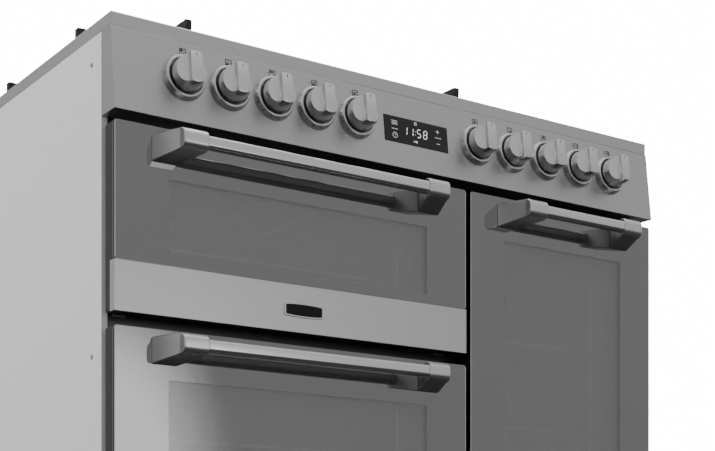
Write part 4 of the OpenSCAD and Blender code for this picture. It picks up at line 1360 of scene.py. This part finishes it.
    def build_badge(self) -> None:
        """Makes the bare plate on the steel band."""
        matrix = on_plane(Plane.FRONT, self.badge_x, 0, self.badge_z)
        rim = Shell().prism(self.barrel(66, 16, 2.4), 9.4, 11.2)
        face = Shell().prism(self.barrel(61, 12.2, 2.1), 11.0, 11.6)
        self.piece("badge_rim", rim, matrix, WIRE_CHROME, "grill_door", 0.5)
        self.piece("badge_plate", face, matrix, BADGE_BLACK, "grill_door", 0.2)


BURNERS = ((141.0, 430.0, 46.0), (141.0, 165.0, 36.0), (381.5, 297.0, 62.0), (622.0, 165.0, 27.0),
           (622.0, 430.0, 36.0))


@dataclass
class Hob(Assembly):
    """The hob with its burners, supports and hotplate.

    Attributes:
        zone_x: Distance of the hotplate's middle from the left end.
        zone_ys: Distances of its two rings behind the hob's edge.
        zone_rs: Radii of the printed circles of each ring.
    """

    zone_x: float = 858.25
    zone_ys: Pair = (190.0, 400.0)
    zone_rs: Pair = (74.0, 40.0)

    def build(self) -> None:
        """Makes the hob's pieces."""
        self.dress(HOB_STEEL, "hob_top")
        self.dress(BURNER_ALLOY, "burner_bodies")
        self.dress(CAP_ENAMEL, "burner_caps")
        self.dress(CAST_SUPPORT, "pan_support_left", "pan_support_centre", "pan_support_right")
        self.dress(HOTPLATE_GLASS, "hotplate_glass")
        self.build_igniters()
        self.build_zones()

    def build_igniters(self) -> None:
        """Makes each burner's spark pin and flame sensor."""
        pins, tips, crowns = Shell(), Shell(), Shell()
        for x, y, r in BURNERS:
            for angle in (215, 325):
                u, v = x + (r + 1.6) * math.cos(math.radians(angle)), y + (r + 1.6) * math.sin(math.radians(angle))
                if angle == 215:
                    pins.lathe([(2.1, 3.0), (2.1, 9.0), (1.6, 10.0)], steps=20, at=(u, v, L.well_z))
                tips.lathe([(0.9, 3.0), (0.9, 13.0), (0.5, 13.6)], steps=16, at=(u, v, L.well_z))
            crowns.lathe([(r - 0.9, 3.2), (r + 0.6, 3.2), (r + 0.6, 4.6), (r - 0.9, 4.6)], closed=True,
                         at=(x, y, L.well_z))
        top = on_plane(Plane.TOP, 0, 0, 0)
        self.piece("spark_insulators", pins, top, CERAMIC, "body")
        self.piece("spark_tips", tips, top, ZINC_BRIGHT, "body")
        self.piece("burner_rings", crowns, top, TAP_BRASS, "body", 0.2)

    def build_zones(self) -> None:
        """Prints the rings on the hotplate."""
        zones = Shell()
        for y in self.zone_ys:
            for r in self.zone_rs:
                zones.lathe([(r - 0.7, 0), (r + 0.7, 0), (r + 0.7, 0.06), (r - 0.7, 0.06)], closed=True,
                            at=(self.zone_x, y, L.body_h))
        self.piece("hotplate_marks", zones, on_plane(Plane.TOP, 0, 0, 0), ZONE_INK, "body")


@dataclass
class Ovens(Assembly):
    """The ovens' linings, racks, fans and lamps."""

    def build(self) -> None:
        """Makes the ovens' pieces."""
        self.dress(OVEN_ENAMEL, "grill_cavity", "main_oven_cavity", "tall_oven_cavity", "fan_covers")
        self.dress(ELEMENT_ALLOY, "heating_elements")
        self.dress(WIRE_CHROME, "shelf_rails", "oven_shelves")
        self.dress(FAN_SHEET, "main_oven_fan", "tall_oven_fan")
        self.dress(MOTOR_BLACK, "fan_motors")
        self.build_lamps()
        self.build_seals()

    def build_lamps(self) -> None:
        """Makes the round lamp covers on the ovens' back walls."""
        lamps, rims = Shell(), Shell()
        for x, z in ((120.0, 415.0), (712.0, 690.0)):
            u, v, w = on_plane(Plane.FRONT, 0, 0, 0).inverted() @ place(x, L.cavity_back, z)
            lamps.lathe([(19.0, 0.0), (19.0, 6.0), (15.0, 11.0), (8.0, 13.5)], steps=48, at=(u, v, w))
            rims.lathe([(19.2, 0.2), (23.0, 0.2), (23.0, 3.0), (19.2, 3.0)], closed=True, steps=48, at=(u, v, w))
        front = on_plane(Plane.FRONT, 0, 0, 0)
        self.piece("lamp_covers", lamps, front, LAMP_GLASS, "body")
        self.piece("lamp_rims", rims, front, WIRE_CHROME, "body")

    def build_seals(self) -> None:
        """Makes the rubber seal round each oven's mouth."""
        for key, x, z in (("grill", (79.0, 519.0), (562.0, 722.0)), ("main", (79.0, 519.0), (145.0, 450.0)),
                          ("tall", (672.25, 932.25), (145.0, 725.0))):
            outline = rounded(x[1] - x[0] + 18, z[1] - z[0] + 18, 14, (x[0] + x[1]) / 2, (z[0] + z[1]) / 2)
            loop = Shell().sweep([(u, v, -26.4) for u, v in outline], 4.3, closed=True, steps=14)
            self.piece(f"{key}_oven_seal", loop, on_plane(Plane.FRONT, 0, 0, 0), RUBBER, "body")


@dataclass
class Carcass(Assembly):
    """The body's sheets, feet, plinth, pipes and fastenings."""

    def build(self) -> None:
        """Makes the body's pieces."""
        self.dress(SIDE_PAINT, "side_panels")
        self.dress(FRAME_BLACK, "front_frame")
        self.dress(ZINC_SHEET, "back_panel", "base_pan")
        self.dress(PLINTH_STEEL, "plinth")
        self.dress(ZINC_BRIGHT, "levelling_feet")
        self.dress(GAS_TUBE, "gas_pipes")
        self.build_screws()
        self.build_back()

    def build_screws(self) -> None:
        """Makes the screws of the side panels and the back."""
        spots = [(59.0, 844.0), (59.0, 447.0), (59.0, 130.0), (545.0, 844.0), (545.0, 447.0), (545.0, 130.0)]
        self.screws("left_side_screws", Plane.LEFT, [(0.0, y, z) for y, z in spots], 3.6, "body")
        self.screws("right_side_screws", Plane.RIGHT, [(L.body_w, y, z) for y, z in spots], 3.6, "body")
        edge = [(x, 576.0, z) for x in (22.0, 265.0, 735.0, 978.0) for z in (124.0, 500.0, 862.0)]
        self.screws("back_screws", Plane.BACK, edge, 3.6, "body")

    def build_back(self) -> None:
        """Makes the inlet's thread, the box's screws and the bare data plate."""
        thread = Shell()
        for i in range(9):
            thread.lathe([(10.3, i * 2.1), (10.78, i * 2.1 + 0.7), (10.3, i * 2.1 + 1.4)], closed=True, steps=48)
        self.piece("inlet_thread", thread, on_plane(Plane.BACK, 60, 578, 830), GAS_TUBE, "body")
        box = [(x, 596.0, z) for x in (818.0, 932.0) for z in (648.0, 712.0)]
        self.screws("terminal_screws", Plane.BACK, box, 3.0, "body")
        plate = Shell().prism(rounded(90, 50, 3, 0, 0), 0.0, 0.4)
        for i in range(6):
            plate.box((-38, 16 - 6 * i, 0.4), (38 - 9 * (i % 3), 17 - 6 * i, 0.5))
        self.piece("data_plate", plate, on_plane(Plane.BACK, 500, 576, 430), PLATE_PAPER, "body")


@dataclass
class Studio:
    """The floor, lights, surroundings and camera.

    Attributes:
        lens: The camera's lens.
        shift_y: The camera's shift, which keeps the uprights parallel as in the photograph.
        yaw: The camera's turn to the right of straight ahead, in radians.
        camera_at: Where it stands.
    """

    lens: float = 73.14
    shift_y: float = 0.5244
    yaw: float = math.radians(34.632)
    camera_at: Triple = (-825.7, -1771.9, 115.8)

    def build(self) -> None:
        """Makes the studio."""
        self.build_world()
        self.build_floor()
        self.lamp("key", (-3.2, 0.7, 1.7), (-0.5, 0.0, 0.5), 1.8, 110.0, False)
        self.lamp("front", (-2.6, -3.0, 2.4), (0.0, 0.0, 0.5), 1.6, 30.0, False)
        self.lamp("top", (0.2, 0.4, 3.2), (0.0, 0.0, 0.9), 2.4, 30.0, True)
        self.lamp("back", (1.4, 2.6, 1.6), (0.0, 0.0, 0.5), 2.0, 26.0, True)
        self.card("low_card", (0.85, -3.27, 0.60), (0.85, 0.0, 0.60), (1.15, 1.46), 0.42)
        self.build_camera()

    def build_world(self) -> None:
        """Makes the white page and the grey room that the object reflects."""
        world = bpy.data.worlds.new("studio")
        bpy.context.scene.world = world
        world.use_nodes = True
        world.node_tree.nodes.clear()
        g = Graph(world.node_tree)
        up = g.add("SeparateXYZ", {0: g.add("TexCoord").outputs["Generated"]}).outputs["Z"]
        ramp = g.add("ValToRGB", {"Fac": g.math("ADD", g.math("MULTIPLY", up, 0.5), 0.5)})
        steps = ((0.0, 0.03), (0.42, 0.08), (0.495, 0.46), (0.75, 0.56), (1.0, 0.85))
        elements = ramp.color_ramp.elements
        for i, (spot, value) in enumerate(steps):
            element = elements[i] if i < 2 else elements.new(spot)
            element.position, element.color = spot, (value, value, value, 1.0)
        room = g.add("Background", {"Color": ramp.outputs[0], "Strength": 1.0})
        page = g.add("Background", {"Color": (1.0, 1.0, 1.0, 1.0), "Strength": 16.0})
        seen = g.add("LightPath").outputs["Is Camera Ray"]
        both = g.add("MixShader", {0: seen, 1: room.outputs[0], 2: page.outputs[0]})
        output = g.add("OutputWorld")
        g.tree.links.new(both.outputs[0], output.inputs[0])

    def build_floor(self) -> None:
        """Lays the pale floor."""
        floor = show("floor", Shell().box((-6000, -6000, -20), (6000, 6000, 0)).mesh("floor", Matrix.Scale(MM, 4)))
        material = bpy.data.materials.new("floor_pale")
        material.use_nodes = True
        shader = material.node_tree.nodes["Principled BSDF"]
        shader.inputs["Base Color"].default_value = (0.62, 0.62, 0.62, 1.0)
        shader.inputs["Roughness"].default_value = 0.7
        floor.data.materials.append(material)
        floor.visible_glossy = False

    def aim(self, obj: bpy.types.Object, at: Triple, to: Triple) -> None:
        """Stands an object at a point and turns its -Z to another.

        Args:
            obj: The object.
            at: Where it stands, in metres.
            to: Where it looks, in metres.
        """
        obj.location = at
        obj.rotation_euler = (Vector(to) - Vector(at)).to_track_quat("-Z", "Y").to_euler()

    def lamp(self, name: str, at: Triple, to: Triple, size: float, power: float, glossy: bool) -> None:
        """Adds a soft square light.

        Args:
            name: Its name.
            at: Where it stands, in metres.
            to: Where it shines, in metres.
            size: Its side, in metres.
            power: Its power, in watts.
            glossy: True if it shows in reflections.
        """
        light = bpy.data.lights.new(name, "AREA")
        light.size, light.energy = size, power
        lamp = bpy.data.objects.new(name, light)
        bpy.context.scene.collection.objects.link(lamp)
        lamp.visible_glossy = glossy
        self.aim(lamp, at, to)

    def card(self, name: str, at: Triple, to: Triple, size: Pair, strength: float) -> None:
        """Adds a glowing card with soft edges, seen only in reflections.

        Args:
            name: Its name.
            at: Where it stands, in metres.
            to: Where it faces, in metres.
            size: Its width and height, in metres.
            strength: Its brightness.
        """
        outline = [(-size[0] / 2, -size[1] / 2), (size[0] / 2, -size[1] / 2), (size[0] / 2, size[1] / 2),
                   (-size[0] / 2, size[1] / 2)]
        mesh = bpy.data.meshes.new(name)
        mesh.from_pydata([(u, v, 0.0) for u, v in outline], [], [(0, 1, 2, 3)])
        card = show(name, mesh)
        self.aim(card, at, to)
        card.visible_camera = card.visible_diffuse = card.visible_shadow = card.visible_transmission = False
        material = bpy.data.materials.new(name)
        material.use_nodes = True
        material.node_tree.nodes.clear()
        g = Graph(material.node_tree)
        where = g.add("TexCoord").outputs["Object"]
        centred = g.add("VectorMath", {0: where, 1: (1 / size[0], 1 / size[1], 0.0)}, operation="MULTIPLY").outputs[0]
        distance = g.add("VectorMath", {0: centred}, operation="LENGTH").outputs["Value"]
        fade = g.add("MapRange", {"Value": distance, "From Min": 0.18, "From Max": 0.5, "To Min": 1.0, "To Max": 0.0},
                     interpolation_type="SMOOTHSTEP").outputs[0]
        glow = g.add("Emission", {"Strength": strength * 6.0})
        clear = g.add("BsdfTransparent")
        both = g.add("MixShader", {0: fade, 1: clear.outputs[0], 2: glow.outputs[0]})
        output = g.add("OutputMaterial")
        g.tree.links.new(both.outputs[0], output.inputs[0])
        card.data.materials.append(material)

    def build_camera(self) -> None:
        """Stands the camera where the photograph was taken from."""
        data = bpy.data.cameras.new("camera")
        data.lens, data.sensor_width, data.shift_y = self.lens, 36.0, self.shift_y
        data.clip_start, data.clip_end = 0.05, 60.0
        camera = bpy.data.objects.new("camera", data)
        bpy.context.scene.collection.objects.link(camera)
        camera.location = place(*self.camera_at)
        camera.rotation_euler = (math.pi / 2, 0.0, -self.yaw)
        bpy.context.scene.camera = camera


def main() -> None:
    """Loads the frame, dresses it and lights it."""
    logging.basicConfig(level=logging.INFO, format="%(message)s")
    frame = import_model()
    effects = Effects()
    effects.build()
    paint = Paintbox(effects)
    for kind in (Carcass, Ovens, Hob, Doors, ControlPanel):
        assembly = kind(paint, frame["nodes"])
        assembly.build()
        LOG.info("%s: %d pieces", kind.__name__, assembly.count)
    Studio().build()


if __name__ == "__main__":
    main()
